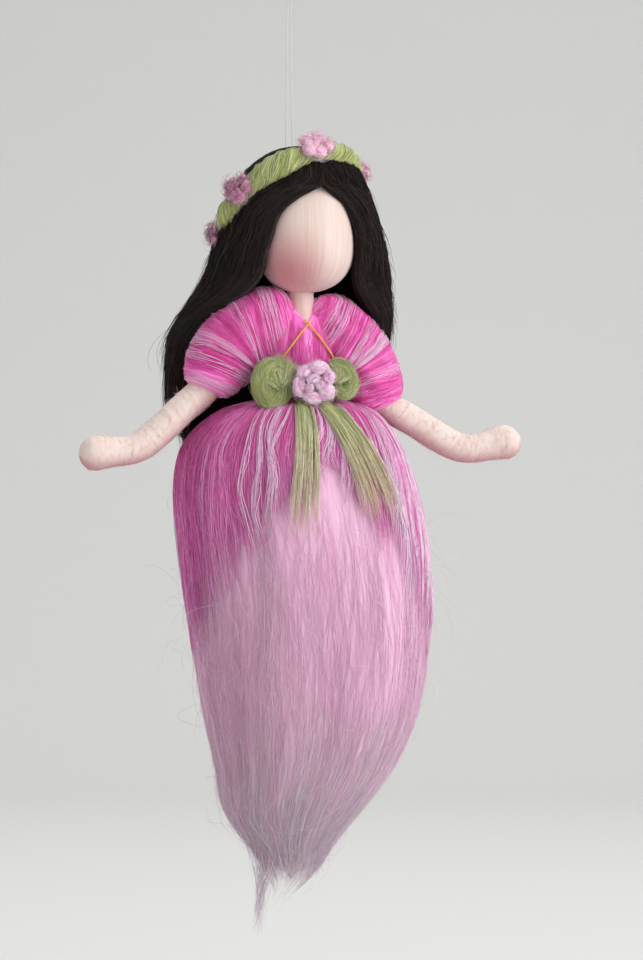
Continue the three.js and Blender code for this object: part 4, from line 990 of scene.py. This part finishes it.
def arm_frame(name):
    """The arm's own ways: along the upper arm, along the forearm, and across both."""
    side, ahead = arm_side[name], math.radians(arm_forward)
    out = np.array([side * math.cos(ahead), -math.sin(ahead), 0.0])
    drop, lift = math.radians(arm_drop[name]), math.radians(arm_bend[name] - arm_drop[name])
    upper = out * math.cos(drop) - np.array([0, 0, math.sin(drop)])
    fore = out * math.cos(lift) + np.array([0, 0, math.sin(lift)])
    return upper, fore, np.cross(out, [0, 0, 1])


def arm_point(name, reach, around, lift=0.0):
    """The arm: circles along a line that turns in a smooth bend at the elbow.

    reach is millimetres from the shoulder; past the wrist the circles close like a ball."""
    upper, fore, axis = arm_frame(name)
    reach, around = np.broadcast_arrays(np.asarray(reach, float), around)
    t = np.clip((reach - upper_arm_reach + bend_reach) / (2 * bend_reach), 0, 1)
    bent = np.clip(reach - upper_arm_reach - bend_reach, 0, None) + 2 * bend_reach * (t**3 - t**4 / 2)
    straight = reach - bent
    centre = arm_pivot[name] + straight[..., None] * upper + bent[..., None] * fore
    w = (3 * t**2 - 2 * t**3)[..., None]
    ahead = upper * (1 - w) + fore * w
    ahead /= np.linalg.norm(ahead, axis=-1, keepdims=True)
    other = np.cross(ahead, axis)
    (radius,) = eased(arm_rows, np.clip(reach, -1, arm_length))
    past = np.clip((reach - arm_length) / hand_reach, 0, 0.999)
    wound = 0.02 * np.sin(1.9 * reach + around) + 0.13 * wave(81, (reach / 18, 6), (around, 2))
    wound = wound + 0.06 * np.exp(-(((reach - 38.5 - 0.8 * np.sin(around)) / 0.9) ** 2))
    radius = (radius + wound + lift) * np.sqrt(1 - past**2) + lift * past
    ring = np.cos(around)[..., None] * axis + np.sin(around)[..., None] * other
    return centre + radius[..., None] * ring


# Merino wound round and needled: fine bands round the arm, no shine. A deeper rosy tone along the
# underside of each arm is painted shade
arm_felt = felt_material(
    "wound_skin_merino", "#E9D8D1", "#E4D1C9", "#DCC5BC", fibre_mm=0.8, run_mm=6.0,
    fade=("#BF7482", 0.0, 7.0), bump=0.05, sheen=0.15,
)
for name in ("left", "right"):
    hand = arm_length + hand_reach * np.sin(np.linspace(0.1, 1.5, 14))
    reach = np.concatenate([np.linspace(-1, arm_length, 90), hand])
    seam = -np.pi if name == "left" else 0.0
    around, reach = np.meshgrid(round_of(40, seam), reach)
    below = around - np.pi / 2
    arm_map = wool_map(reach + below * 0.8, below * 4.2, [-1, 12], [45, 12])
    arm = make_piece(
        name + "_arm_felt", *capped(arm_point(name, reach, around)), arm_felt, arm_map,
        (1.6 * np.pi, 8.4 * np.pi),
    )
    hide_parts(name + "_upper_arm", name + "_forearm")

    lot = Lot(83 + arm_side[name], 700, 7)
    reaches = lot.even(0, arm_length + 3) + lot.along * lot.near(0, 2.4)
    arounds = lot.even(0, 2 * np.pi) + lot.along * lot.near(0, 0.8)
    lifts = -0.1 + lot.along**1.5 * lot.rare(1.4, 0.32)
    paths = arm_point(name, np.clip(reaches, -1, arm_length + 3.6), arounds, lifts)
    down = fibre_piece(
        name + "_arm_loose_fibres", paths, 0.038, lot.even(0, 1), skin_fibre, None
    )
    upper, fore, axis = arm_frame(name)
    elbow = arm_pivot[name] + upper_arm_reach * upper
    for piece in (arm, down):
        start, end = tuple((elbow - 6 * upper) / 1000), tuple((elbow + 6 * fore) / 1000)
        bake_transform(piece)

# Gold thread: two plies of metallic thread twisted together. Two lengths cross below the V of
# the neck and run down under the bow.

# Metal foil wound on a core: random pale yellow dashes are painted highlights on the plies, and orange
# ones are painted shade in the groove
gold, tree, output = new_material("gold_embroidery_thread")
place = node(tree, "ShaderNodeTexCoord")
glint_and_groove_noise = node(
    tree, "ShaderNodeTexNoise", {"Vector": place.outputs["Object"], "Scale": 2500.0, "Detail": 1.0}
)
tones = node(tree, "ShaderNodeValToRGB", {"Fac": glint_and_groove_noise.outputs["Fac"]})
tones.color_ramp.elements[0].color = colour("#D9822B")
tones.color_ramp.elements[1].color = colour("#FFE08A")
shader = node(
    tree, "ShaderNodeBsdfPrincipled",
    {"Base Color": tones.outputs["Color"], "Metallic": 0.5, "Roughness": 0.38},
)
tree.links.new(shader.outputs["BSDF"], output.inputs["Surface"])

ply_radius, ply_off_centre, twist_length = 0.18, 0.17, 1.5
# Share of a thread's run from its upper end, sideways place and height
thread_rows = [[0, -0.9, -94.2], [1 / 3, 0, -95.3], [2 / 3, 3.2, -99.2], [1, 7.4, -104.8]]
for name in ("left", "right"):
    side = arm_side[name]
    at = np.linspace(0, 1, 120)
    x, z = eased(thread_rows, at)
    x = side * x
    wide, deep = eased(bodice_rows, (collar_z - z) / (collar_z - bodice_bottom))
    # The right thread rises over the left one where they cross
    lift = 0.75 + (0.0 if name == "left" else 0.5 * np.exp(-(((at - 0.33) / 0.12) ** 2)))
    out = np.sqrt(1 - (x / (chest_half_width * wide + lift)) ** 2)
    path = points_at(body_x + x, body_y - (chest_half_depth * deep + lift) * out, z)
    ahead = np.gradient(path, axis=0)
    ahead /= np.linalg.norm(ahead, axis=1, keepdims=True)
    run = np.concatenate([[0], np.cumsum(np.linalg.norm(np.diff(path, axis=0), axis=1))])
    front = np.array([0.0, -1.0, 0.0]) + ahead * ahead[:, 1:2]
    front /= np.linalg.norm(front, axis=1, keepdims=True)
    beside = np.cross(ahead, front)
    plies = []
    for ply in range(2):
        twist = (2 * np.pi * run / twist_length + np.pi * ply)[:, None]
        ply_path = path + ply_off_centre * (np.cos(twist) * front + np.sin(twist) * beside)
        plies.append(closed_tube(*line_tube(ply_path, ply_radius, 7)))
    thread = make_piece(name + "_gold_plies", *joined(plies), gold)
    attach(thread, "torso")
    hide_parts("gold_thread_" + name)

# Skirts: two layers of merino roving tied at the waist. The long pale layer closes to a wisp at
# the bottom. Over it lies a shorter hot pink one with pale strands and a ragged hem.

skirt_length, skirt_half_width, skirt_flatness = 137.0, 33.0, 0.82
skirt_rows = [
    [0, 0, 0.3], [0.02, -0.02, 0.56], [0.06, -0.05, 0.76], [0.11, -0.06, 0.885], [0.19, -0.03, 0.965],
    [0.3, 0.03, 1], [0.45, 0.08, 1], [0.57, 0.085, 0.96], [0.66, 0.08, 0.88], [0.75, 0.04, 0.745],
    [0.82, -0.04, 0.62], [0.88, -0.08, 0.45], [0.93, -0.07, 0.29], [0.97, -0.085, 0.19], [1, -0.12, 0.09],
    [1.04, -0.24, 0.035], [1.1, -0.37, 0.012],
]


def skirt_point(turn, share, lift=0.0):
    """The skirt: level ovals down from the waist, as wide as the table says, with soft folds."""
    drift, size = eased(skirt_rows, share)
    wide = skirt_half_width * size
    reach = np.clip(share / 0.12, 0, 1) * np.clip((1 - share) / 0.3, 0, 1)
    fold = 0.5 * reach * np.sin(7 * turn + 5 * share) + 0.2 * reach * wave(91, (turn, 17), (share, 7))
    out = fold + lift
    x = body_x + skirt_half_width * drift + (wide + out) * np.cos(turn)
    return points_at(
        x, body_y + (skirt_flatness * wide + out) * np.sin(turn), waist_z - skirt_length * share
    )


# Pale pink merino, drawn out thin: streaks of pink and near white, greyer where it thins
pale_felt = felt_material(
    "pale_pink_merino", "#EFC5DD", "#E9BAD6", "#E2AFCF", fibre_mm=0.35, run_mm=14.0,
    fade=("#CBB7C6", skirt_length, 80.0), bump=0.06, sheen=0.6, loose=0.6,
)
turn, share = np.meshgrid(round_of(160), np.linspace(0.965, 0, 126))
# The mass ends a little askew and is drawn in at its end, so that loose fibres make the tip
share = share + 0.013 * np.cos(turn) * np.clip((share - 0.85) / 0.115, 0, 1)
drawn_in = 1.6 * np.clip((share - 0.75) / 0.2, 0, 1) ** 2
drawn_in = drawn_in + 3.4 * np.clip((share - 0.93) / 0.035, 0, 1) ** 2.5
lumpy = 0.5 * wave(92, (turn, 5)) * np.clip((share - 0.93) / 0.03, 0, 1)
underskirt_map = wool_map(turn * 30, share * skirt_length, [90, 138], [90, 0])
underskirt = make_piece(
    "underskirt_wool", *capped(skirt_point(turn, share, lumpy - drawn_in)), pale_felt, underskirt_map,
    (60 * np.pi, 0),
)
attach(underskirt, "torso")
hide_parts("underskirt")

# Its single fibres: from pink to nearly white
pale_fibre = fibre_material(
    "pale_pink_merino_fibre", ["#DFA0C6", "#EAB6D5", "#F1C9E1", "#F9E6F2"], sheen=0.5
)
# The same wool where it is thinnest, nearly colourless
wisp_fibre = fibre_material(
    "thinned_pale_pink_merino_fibre", ["#CBB0C2", "#D8C2D0", "#E5D6E1", "#F3ECF2"], sheen=0.5
)

# Fibres down the skirt, in locks that wander, cross and spread. Each lot has the turns between
# which it lies, its dice, and the shares of the length where a fibre starts and that it runs
front, back = (-np.pi * 1.05, 0.05), (0, np.pi)
for name, count, turns_of, seed, material, span, run, radius in (
    ("underskirt_fibres_front", 2300, front, 93, pale_fibre, (0.15, 0.62), (0.12, 0.42), 0.048),
    ("underskirt_fibres_back", 900, back, 94, pale_fibre, (0.45, 0.62), (0.12, 0.42), 0.055),
    ("underskirt_wisp_front", 1700, front, 191, wisp_fibre, (0.6, 0.9), (0.06, 0.26), 0.045),
    ("underskirt_wisp_back", 900, back, 192, wisp_fibre, (0.6, 0.9), (0.06, 0.26), 0.045),
):
    lot, locks = Lot(seed, count, 10), 90
    which = lot.lock(locks)
    lock_turn = lot.dice.uniform(*turns_of, locks)
    lean = lot.dice.normal(0, 0.07, locks)[which] + lot.near(0, 0.05)
    start = lot.even(*span)
    end = np.minimum(start + lot.even(*run), 0.974 + lot.near(0, 0.02))
    shares = start + lot.along * (end - start)
    turns = lock_turn[which] + lot.near(0, 0.04) + lean * lot.along + 0.04 * lot.sway(3)
    lifts = 0.02 + 0.08 * lot.sway(2) + 0.5 * lot.along**2 * lot.rare(1.2, 0.6)
    tint = 0.42 + 0.16 * lot.dice.normal(size=locks)[which] + 0.1 * lot.near(0, 1)
    paths = skirt_point(turns, shares, lifts)
    fibre_piece(name, paths, radius, tint, material, "torso")

# Its bottom is blunt: loose ends hook back there, and one side is drawn out into a thin tail
lot = Lot(193, 520, 9)
turns = lot.even(0, 2 * np.pi) + lot.along * lot.near(0, 0.5)
shares = lot.even(0.86, 0.955) + lot.along * lot.even(0.01, 0.085) ** 1.2 - 0.012 * lot.along**3
lifts = -1.2 + lot.along * lot.even(-3.0, 4.5)
paths = skirt_point(turns, np.clip(shares, 0, 1.02), lifts)
tint = lot.even(0.2, 1)
fibre_piece("underskirt_hem_fibres", paths, 0.055, tint, wisp_fibre, "torso")

lot = Lot(lot.dice, 90, 14)
root = skirt_point(lot.even(-np.pi * 1.15, -np.pi * 0.55), lot.even(0.86, 0.95), -1.5)
end = points_at(lot.near(-11.0, 0.7), lot.near(-6.4, 0.8), -258.0 - 8.0 * lot.even(0, 1) ** 1.5)
middle = points_at(lot.near(-8.6, 1.3), lot.near(-6.5, 1.0), lot.near(-247.5, 3.0))
waves = points_at(lot.sway(4), lot.sway(4), 0)
paths = lot.curve(root, middle, end) + 0.5 * lot.along[:, None] * waves
tint = lot.even(0.2, 1)
fibre_piece("underskirt_tail_fibres", paths, 0.055, tint, wisp_fibre, "torso")

# All over it short curled fibres stand off, so that its outline is a haze
lot = Lot(lot.dice, 1000, 7)
turns = lot.even(0, 2 * np.pi) + lot.along * lot.near(0, 0.08) + 0.02 * lot.along * lot.sway(2)
shares = lot.even(0.3, 0.95) + lot.along * lot.near(0.02, 0.02)
lifts = lot.along * lot.rare(1.8, 0.6) + 0.1 * lot.along * lot.sway(2)
paths = skirt_point(turns, np.clip(shares, 0, 0.985), lifts)
tint = lot.even(0.3, 1)
fibre_piece("underskirt_fuzz", paths, 0.035, tint, wisp_fibre, "torso")

# Degrees round the skirt from the doll's left, and how far the upper layer reaches down there
hem_rows = [
    [-200, 76], [-180, 74], [-160, 64], [-145, 56], [-127, 46], [-112, 36], [-98, 27], [-84, 24],
    [-70, 34], [-58, 46], [-40, 58], [-20, 68], [0, 72], [40, 80], [90, 84], [130, 80], [160, 76],
]


def hem_length(turn):
    """How far the upper layer reaches down at a turn of the skirt, in millimetres."""
    degrees = (np.degrees(turn) + 200) % 360 - 200
    (length,) = eased(hem_rows, np.clip(degrees, -200, 160))
    return length


# The mass of the upper layer stops short of its fibres; outside is its face, the rest its lining
mass_part, over_lift = 0.84, 1.8
turn, way = np.meshgrid(round_of(200), np.linspace(0, 1, 64, endpoint=False))
down = np.clip(2 * np.minimum(way, 1 - way), 0, 1)
lift = np.where(way < 0.5, over_lift * (1 - down**6) - 0.5 * down**6, -1.2 + 0.4 * down)
ragged = 1 + 0.07 * wave(95, (turn, 17)) + 0.04 * wave(96, (turn, 43))
share = down * hem_length(turn) * mass_part * ragged / skirt_length
layer = looped_grid(skirt_point(turn, share, lift)[::-1])
overskirt_map = wool_map(turn[::-1] * 30, ((down - 1) * hem_length(turn))[::-1])
# Hot pink merino in broad soft streaks, paler at its lower edge where it thins
overskirt_felt = felt_material(
    "hot_pink_merino_skirt", "#F68ED6", "#ED5EBE", "#D442A2", fibre_mm=0.6, run_mm=22.0,
    fade=("#E3A9CB", 0.0, 26.0), bump=0.15,
)
overskirt = make_piece("overskirt_wool", *layer, overskirt_felt, overskirt_map, (60 * np.pi, 0))
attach(overskirt, "torso")
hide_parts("overskirt")

# Its single fibres: deep pink to nearly white, and most of them pale towards the hem
skirt_fibre = fibre_material(
    "hot_pink_skirt_fibre", ["#C0308A", "#F252B6", "#FA88D4", "#F8B8E4", "#FBE8F7"],
    ["#D068B0", "#E98ECC", "#F2AEDC", "#F4CAE8", "#F9EBF7"], sheen=0.3,
)

# Its fibres: locks of one tone each, from the waist to past the ragged hem. A pale lock wanders
# over its neighbours. Locks on the doll's right side are drawn deeper pink as painted shade, and
# those from its front left round to the back are drawn paler as painted light from the key lamp
for name, count, low, high, seed in (
    ("overskirt_fibres_right", 2100, -np.pi * 1.12, -np.pi * 0.5, 97),
    ("overskirt_fibres_left", 2100, -np.pi * 0.5, np.pi * 0.12, 98),
    ("overskirt_fibres_back", 1250, np.pi * 0.1, np.pi * 0.9, 99),
):
    lot, locks = Lot(seed, count, 12), 104
    which = lot.lock(locks)
    lock_turn = np.linspace(low, high, locks) + lot.dice.normal(0, 0.02, locks)
    lock_tint = lot.dice.choice([0.05, 0.24, 0.48, 0.84], locks, p=[0.22, 0.32, 0.2, 0.26])
    # Painted shade: locks on the doll's right, away from the key lamp, are drawn deeper pink
    lock_tint = lock_tint * (1 - 0.6 * np.clip((-118 - np.degrees(lock_turn)) / 45, 0, 1))
    # Painted light: locks from the doll's front left round to the back are drawn paler
    lock_tint = lock_tint + 0.22 * np.clip((np.degrees(lock_turn) + 60) / 30, 0, 1)
    pale = lock_tint > 0.6
    lock_lift = lot.dice.uniform(0, 0.25, locks) + 0.35 * pale
    lock_reach = lot.dice.uniform(0.7, 1.12, locks)
    start = lot.even(0.0, 0.62) ** 1.3
    end = start + lot.even(0.3, 0.75)
    end = np.minimum(end, lock_reach[which] + lot.near(0, 0.06))
    part = start + (end - start) * lot.along
    lock_width = (0.01 + 0.014 * lot.dice.uniform(0, 1, locks)) * np.where(pale, 0.5, 1)
    lean = lot.dice.normal(0, 0.02 + 0.06 * pale)[which] + lot.near(0, 0.012)
    turns = lock_turn[which] + lot.near(0, 1) * lock_width[which] * (1 + part)
    turns = turns + lean * part + 0.012 * lot.sway(3)
    turns = turns + (0.012 + 0.02 * pale)[which] * np.sin(9 * part + 6.0 * which)
    shares = part * hem_length(lock_turn[which]) / skirt_length
    lifts = over_lift * (1 - np.clip(part, 0, 1) ** 4) + 0.2 + lock_lift[which] + 0.16 * lot.sway(3)
    paths = skirt_point(turns, np.clip(shares, 0, 1), lifts)
    tint = lock_tint[which] + lot.near(0, 0.13)
    fibre_piece(name, paths, 0.08, tint, skirt_fibre, "torso")

# Fibres that have worked loose: long fine curls off the sides, and a few that lie across
lot = Lot(101, 300, 14)
turns = lot.even(0, 2 * np.pi) + lot.along * lot.near(0, 0.35) + 0.04 * lot.sway(3)
shares = lot.even(0.15, 0.92) + lot.along * lot.even(-0.02, 0.16)
lifts = 0.3 + np.sin(np.pi * lot.along * lot.even(0.5, 1.0)) * lot.rare(1.5, 1.3)
paths = skirt_point(turns, np.clip(shares, 0, 1.05), lifts)
tint = lot.even(0.5, 1)
fibre_piece("skirt_loose_fibres", paths, 0.045, tint, pale_fibre, "torso")

# A few stray fibres hang well clear of the skirt on both sides
dice = np.random.default_rng(103)
for name, count, low, high in (("left", 16, -172.0, -150.0), ("right", 9, -188.0, -166.0)):
    side = arm_side[name]
    lot = Lot(dice, count, 22)
    along = lot.along[:, None]
    z = lot.even(low, high)
    root = points_at(body_x + side * skirt_half_width, body_y - 4 + lot.near(0, 3), z)
    out = lot.even(6.0, 21.0) * [side, -0.1, 0.0] + lot.even(-14.0, 3.0) * [0, 0, 1]
    bow_out = lot.dice.normal(0, 1.0, (lot.count, 3)) + [0, 0, 4.0]
    paths = root + along * out[:, None] + np.sin(np.pi * along) * bow_out[:, None]
    paths[..., 2] += 0.5 * lot.sway(5)
    tint = lot.even(0.3, 1)
    fibre_piece(name + "_stray_fibres", paths, 0.04, tint, wisp_fibre, "torso")

# Sash, bow and tails: one length of the green wool tied round the waist. Its two loops curl on
# themselves and its ends hang down the front, thinning until the pink shows through.


def skirt_front(x, z, lift):
    """The place in front of the skirts at a sideways place and height: the oval solved for its front."""
    share = (waist_z - z) / skirt_length
    drift, size = eased(skirt_rows, share)
    wide = skirt_half_width * size
    out = over_lift + lift
    across = np.clip((x - skirt_half_width * drift) / (wide + out), -0.95, 0.95)
    return points_at(body_x + x, body_y - (skirt_flatness * wide + out) * np.sqrt(1 - across**2), z)


sash_half_width, sash_half_depth = chest_half_width * 0.79 + 2.0, chest_half_depth * 0.83 + 2.0
sash_z = waist_z + 2.0
sash_thick, sash_high = 1.36, 1.7


def sash_point(turn, around, lift=0.0):
    """The sash: an oval round the waist with a flattened round section."""
    out = (sash_thick + lift) * np.cos(around)
    x = body_x + (sash_half_width + out) * np.cos(turn)
    y = body_y + (sash_half_depth + out) * np.sin(turn)
    return points_at(x, y, sash_z + (sash_high + lift) * np.sin(around) + 0.15 * wave(103, (turn, 6)))


around, turn = np.meshgrid(round_of(14), round_of(120))
sash = make_piece(
    "sash_wool", *looped_grid(sash_point(turn, -around)), green_felt, wool_map(around * 1.6, turn * 11),
    (3.2 * np.pi, 22 * np.pi),
)
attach(sash, "torso")
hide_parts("sash")
lot = Lot(105, 420, 12)
turns = lot.even(0, 2 * np.pi) + lot.along * lot.even(0.4, 1.2)
arounds = lot.even(0, 2 * np.pi) + lot.along * lot.near(0, 0.6)
paths = sash_point(turns, arounds, 0.1 + 0.12 * lot.sway(2))
tint = lot.dice.beta(1.6, 1.6, lot.count)
fibre_piece("sash_fibres", paths, 0.08, tint, green_fibre, "torso")

bow_knot_place = np.array([1.4, -17.63, -112.4])
# For each loop: its distance out from the knot and up, half width, half height, half the
# thickness of its wool, and the degrees by which it leans out
loop_out = {"left": 8.8, "right": 10.4}
loop_lift = {"left": 1.6, "right": 0.2}
loop_wide = {"left": 2.3, "right": 2.9}
loop_high = {"left": 3.7, "right": 4.6}
loop_thick = {"left": 2.15, "right": 2.7}
loop_lean = {"left": 20, "right": 4}


def loop_point(name, turn, around, lift=0.0):
    """A bow loop: round an upright oval a section about 5 mm thick, thinner towards the knot."""
    side = arm_side[name]
    x = loop_wide[name] * np.cos(turn)
    z = loop_high[name] * np.sin(turn)
    size = 1 + 0.12 * np.cos(turn) + 0.09 * wave(107 + side, (turn, 3), (around, 2))
    wide = (loop_thick[name] * size + lift) * np.cos(around)
    deep = (0.9 * loop_thick[name] * size + lift) * np.sin(around)
    norm = np.sqrt((np.cos(turn) / loop_wide[name]) ** 2 + (np.sin(turn) / loop_high[name]) ** 2)
    x = x + wide * np.cos(turn) / loop_wide[name] / norm
    z = z + wide * np.sin(turn) / loop_high[name] / norm
    x, y, z = np.moveaxis(points_at(x, 0.4 + deep, z) @ turned(-loop_lean[name], "y").T, -1, 0)
    return bow_knot_place + points_at(side * (loop_out[name] + x), y, loop_lift[name] + z)


for name in ("left", "right"):
    side = arm_side[name]
    around, turn = np.meshgrid(round_of(28), round_of(72, -np.pi))
    points, faces = looped_grid(loop_point(name, turn, around))
    if side < 0:
        faces = [f[:, ::-1] for f in faces]
    loop = make_piece(
        name + "_bow_loop_wool", points, faces, green_felt, wool_map(around * 2.4, turn * 6),
        (4.8 * np.pi, 12 * np.pi),
    )
    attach(loop, "torso")
    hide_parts("bow_loop_" + name)
    lot = Lot(109 + side, 700, 11)
    turns = lot.even(0, 2 * np.pi) + lot.along * lot.even(1.2, 3.4)
    arounds = lot.even(0, 2 * np.pi) + lot.along * lot.near(0.9, 0.9)
    lifts = 0.08 + 0.12 * lot.sway(3) + 0.5 * lot.along**4 * lot.rare(1.0, 0.6)
    paths = loop_point(name, turns, arounds, lifts)
    tint = 0.5 + 0.2 * wave(111, (turns[:, :1], 2), (arounds[:, :1], 3)) + lot.near(0, 0.14)
    fibre_piece(name + "_bow_loop_fibres", paths, 0.06, tint, green_fibre, "torso")
    # The fan: fibres that come out of the loop's eye and spread upwards past its top
    count, reach = (560, 1.0) if name == "right" else (240, 0.72)
    lot = Lot(lot.dice, count, 9)
    eye = bow_knot_place + [side * (loop_out[name] - 1.6), -1.2, loop_lift[name] - 1.2]
    rise = np.radians(lot.even(38, 158))
    far = reach * (9.6 - 2.2 * np.abs(np.cos(rise)) + lot.near(0, 0.6))
    root = (eye + lot.dice.normal(0, 0.5, (lot.count, 3)) * [1, 0.6, 1])[:, None]
    end = eye + far[..., None] * points_at(side * -np.cos(rise), 0.16, np.sin(rise))
    middle = (root + end) / 2 + points_at(0, -2.6 + lot.near(0, 0.35), 0)
    tint = lot.dice.beta(1.8, 1.3, lot.count)
    paths = lot.curve(root, middle, end)
    fibre_piece(name + "_bow_fan_fibres", paths, 0.06, tint, green_fibre, "torso")

ball = ball_grid(20, 30)
bumps = 1 + 0.06 * wave(113, (ball[..., 0], 4), (ball[..., 2], 5))
lump = capped(bow_knot_place + ball * [3.3, 3.0, 3.5] * bumps[..., None])
knot_map = wool_map(ball[..., 0] * 4, ball[..., 2] * 4, [0, -4], [0, 4])
bow_knot = make_piece("bow_knot_wool", *lump, green_felt, knot_map)
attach(bow_knot, "torso")
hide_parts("bow_knot")

# For each tail: sideways place at the knot and at its end, length, and half its spread
tail_start = {"left": 2.6, "right": -3.2}
tail_end = {"left": 20.0, "right": -6.8}
tail_length = {"left": 36.6, "right": 37.6}
tail_spread = {"left": 6.0, "right": 4.2}
# The green wool drawn out thin: paler than the sash, and pink begins to show through at its end
tail_felt = felt_material(
    "thinned_green_corriedale", "#D2D99A", "#B6BF78", "#8E9452", fibre_mm=0.35, run_mm=12.0,
    fade=("#DDB3A4", 34.0, 26.0), bump=0.4,
)
# Its single fibres: green at the root and tinged pink at the end, where the skirt shows through
tail_fibre = fibre_material(
    "green_corriedale_tail_fibre", ["#96A658", "#C0CC80", "#DCE3AC", "#F5F7E0"],
    ["#D8B29E", "#E8CAB6", "#F1DCCC", "#FBF1EA"], rough=0.6, sheen=0.35,
)


def tail_point(name, across, down, lift):
    """A tail: across it from -1 to 1 and down it from 0 to 1, spreading as it falls."""
    spread = tail_spread[name] * (0.56 + 0.48 * down**0.8)
    aside = 1 - (1 - np.clip(down, 0, 1.2) / 1.2) ** 1.7
    x = tail_start[name] + (tail_end[name] - tail_start[name]) * aside + spread * across
    return skirt_front(x, waist_z - 0.6 - tail_length[name] * down, lift)


for name in ("left", "right"):
    around, down = np.meshgrid(round_of(32), np.linspace(0.0, 0.34, 28))
    narrow = 0.55 * np.sqrt(1 - (down / 0.35) ** 2) * (1 + 0.12 * wave(115, (down, 9), (around, 2)))
    across, lift = narrow * np.cos(around), 0.9 + 0.7 * (1 - down) * np.sin(around)
    tail_map = wool_map(across * 5, down * 36, [0, 0], [0, 30])
    tail = make_piece(
        name + "_bow_tail_wool", *capped(tail_point(name, across, down, lift)), tail_felt, tail_map
    )
    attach(tail, "torso")
    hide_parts("bow_tail_" + name)
    lot, locks = Lot(117 + arm_side[name], 640, 11), 23
    which = lot.lock(locks)
    lock_across = np.linspace(-0.95, 0.95, locks) + lot.dice.normal(0, 0.05, locks)
    across = np.clip(lock_across[which] + lot.near(0, 0.05), -1.2, 1.2)
    start = lot.even(0, 0.5) ** 1.8
    end = start + lot.even(0.3, 0.9)
    end = np.minimum(end, lot.dice.uniform(0.7, 1.15, locks)[which])
    down = start + (end - start) * lot.along
    wander = lot.dice.normal(0, 0.2, locks)[which] + 0.12 * lot.sway(3)
    paths = tail_point(name, across + wander * down, down, 1.2 + 0.5 * lot.sway(3))
    tint = lot.dice.uniform(0.1, 0.85, locks)[which] + lot.near(0, 0.2)
    fibre_piece(name + "_bow_tail_fibres", paths, 0.055, tint, tail_fibre, "torso")

# Waist flower: a rosette of lilac pink roving, six curled rolls round three smaller ones, needled
# onto the bow's knot.

# Lilac pink roving rolled up: nearly white to mauve pink, in short streaks along each roll
lilac_felt = felt_material(
    "lilac_pink_roving", "#FCE6F5", "#F3CFE6", "#DBA6C8", fibre_mm=0.25, run_mm=3.0, bump=0.6, sheen=0.4
)
flower_axes = frame_on([-0.12, -1.0, 0.08])
flower_place = bow_knot_place + [0.2, -2.75, 0.2]
# Each curl: its middle across and up, half length and half width, degrees of its length, height
curls = (
    (1.1, 4.2, 3.2, 2.2, 5, 1.5), (4.1, 1.7, 2.2, 2.0, 80, 1.5), (3.5, -2.5, 2.5, 2.4, 30, 1.7),
    (-0.6, -3.9, 2.7, 2.0, -15, 1.5), (-4.0, -0.9, 3.0, 1.9, 95, 1.4), (-2.7, 3.0, 2.3, 1.9, 50, 1.5),
    (-0.4, 1.0, 1.9, 1.5, 20, 2.6), (1.5, -0.7, 1.8, 1.4, -50, 2.7), (-1.2, -1.3, 1.6, 1.3, 100, 2.5),
)
points, faces, uv = curled_lumps(curls, 121)
points = flower_place + points @ flower_axes.T
waist_flower = make_piece("waist_rosette", points, faces, lilac_felt, uv)
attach(waist_flower, "torso")
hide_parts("waist_flower")
# Its down: loose ends of the same wool, from mauve pink to nearly white
lilac_fibre = fibre_material("lilac_pink_roving_fibre", ["#DCA8CA", "#F2D0E7", "#FEF3FB"], sheen=0.4)
fibre_piece(
    "waist_rosette_down", down_on(points, 900, 1.7, 131), 0.045,
    np.random.default_rng(132).uniform(0, 1, 900), lilac_fibre, "torso",
)

# Studio: a pale floor below the hanging doll that sweeps up into the backdrop, a large soft lamp
# from the doll's left, a weaker one from its right, and an even pale surround.

# Matte card, a plain pale grey
sweep, tree, output = new_material("pale_grey_card")
shader = node(tree, "ShaderNodeBsdfPrincipled", {"Base Color": colour("#DCDCDA"), "Roughness": 0.9})
tree.links.new(shader.outputs["BSDF"], output.inputs["Surface"])
floor_z, backdrop_top, backdrop_y, sweep_radius, half_breadth = -300.0, 2200.0, 1400.0, 500.0, 2600.0
bend = np.linspace(0, np.pi / 2, 24)
bend_y = backdrop_y - sweep_radius * (1 - np.sin(bend))
bend_z = floor_z + sweep_radius * (1 - np.cos(bend))
y = np.concatenate([[-1500.0], bend_y, [backdrop_y]])
z = np.concatenate([[floor_z], bend_z, [backdrop_top]])
spots = points_at(np.array([[-half_breadth], [half_breadth]]), y, z)
index = np.arange(spots.size // 3).reshape(2, -1)
quads = np.stack([index[0, :-1], index[1, :-1], index[1, 1:], index[0, 1:]], -1)
floor = make_piece("floor", spots.reshape(-1, 3) @ turned(view_degrees, "z").T, [quads], sweep)

lamp_target = np.array([0.0, 0.0, -0.13])
for name, place, size, power in (
    ("key_lamp", (0.75, -0.85, 0.35), 0.9, 12.5), ("fill_lamp", (-1.0, -0.7, 0.0), 1.1, 3.0),
    ("top_lamp", (0.1, 0.5, 0.9), 0.9, 7.0),
):
    lamp_data = bpy.data.lights.new(name, "AREA")
    lamp_data.shape = "SQUARE"
    lamp_data.size = size
    lamp_data.energy = power
    lamp = bpy.data.objects.new(name, lamp_data)
    lamp.location = place
    toward = lamp_target - place
    tilt = math.atan2(math.hypot(toward[0], toward[1]), -toward[2])
    lamp.rotation_euler = (tilt, 0.0, math.atan2(-toward[0], toward[1]))
    bpy.context.scene.collection.objects.link(lamp)

world = bpy.data.worlds.new("surround")
world.use_nodes = True
world.node_tree.nodes["Background"].inputs["Color"].default_value = (1.0, 1.0, 1.0, 1.0)
world.node_tree.nodes["Background"].inputs["Strength"].default_value = 0.45
bpy.context.scene.world = world
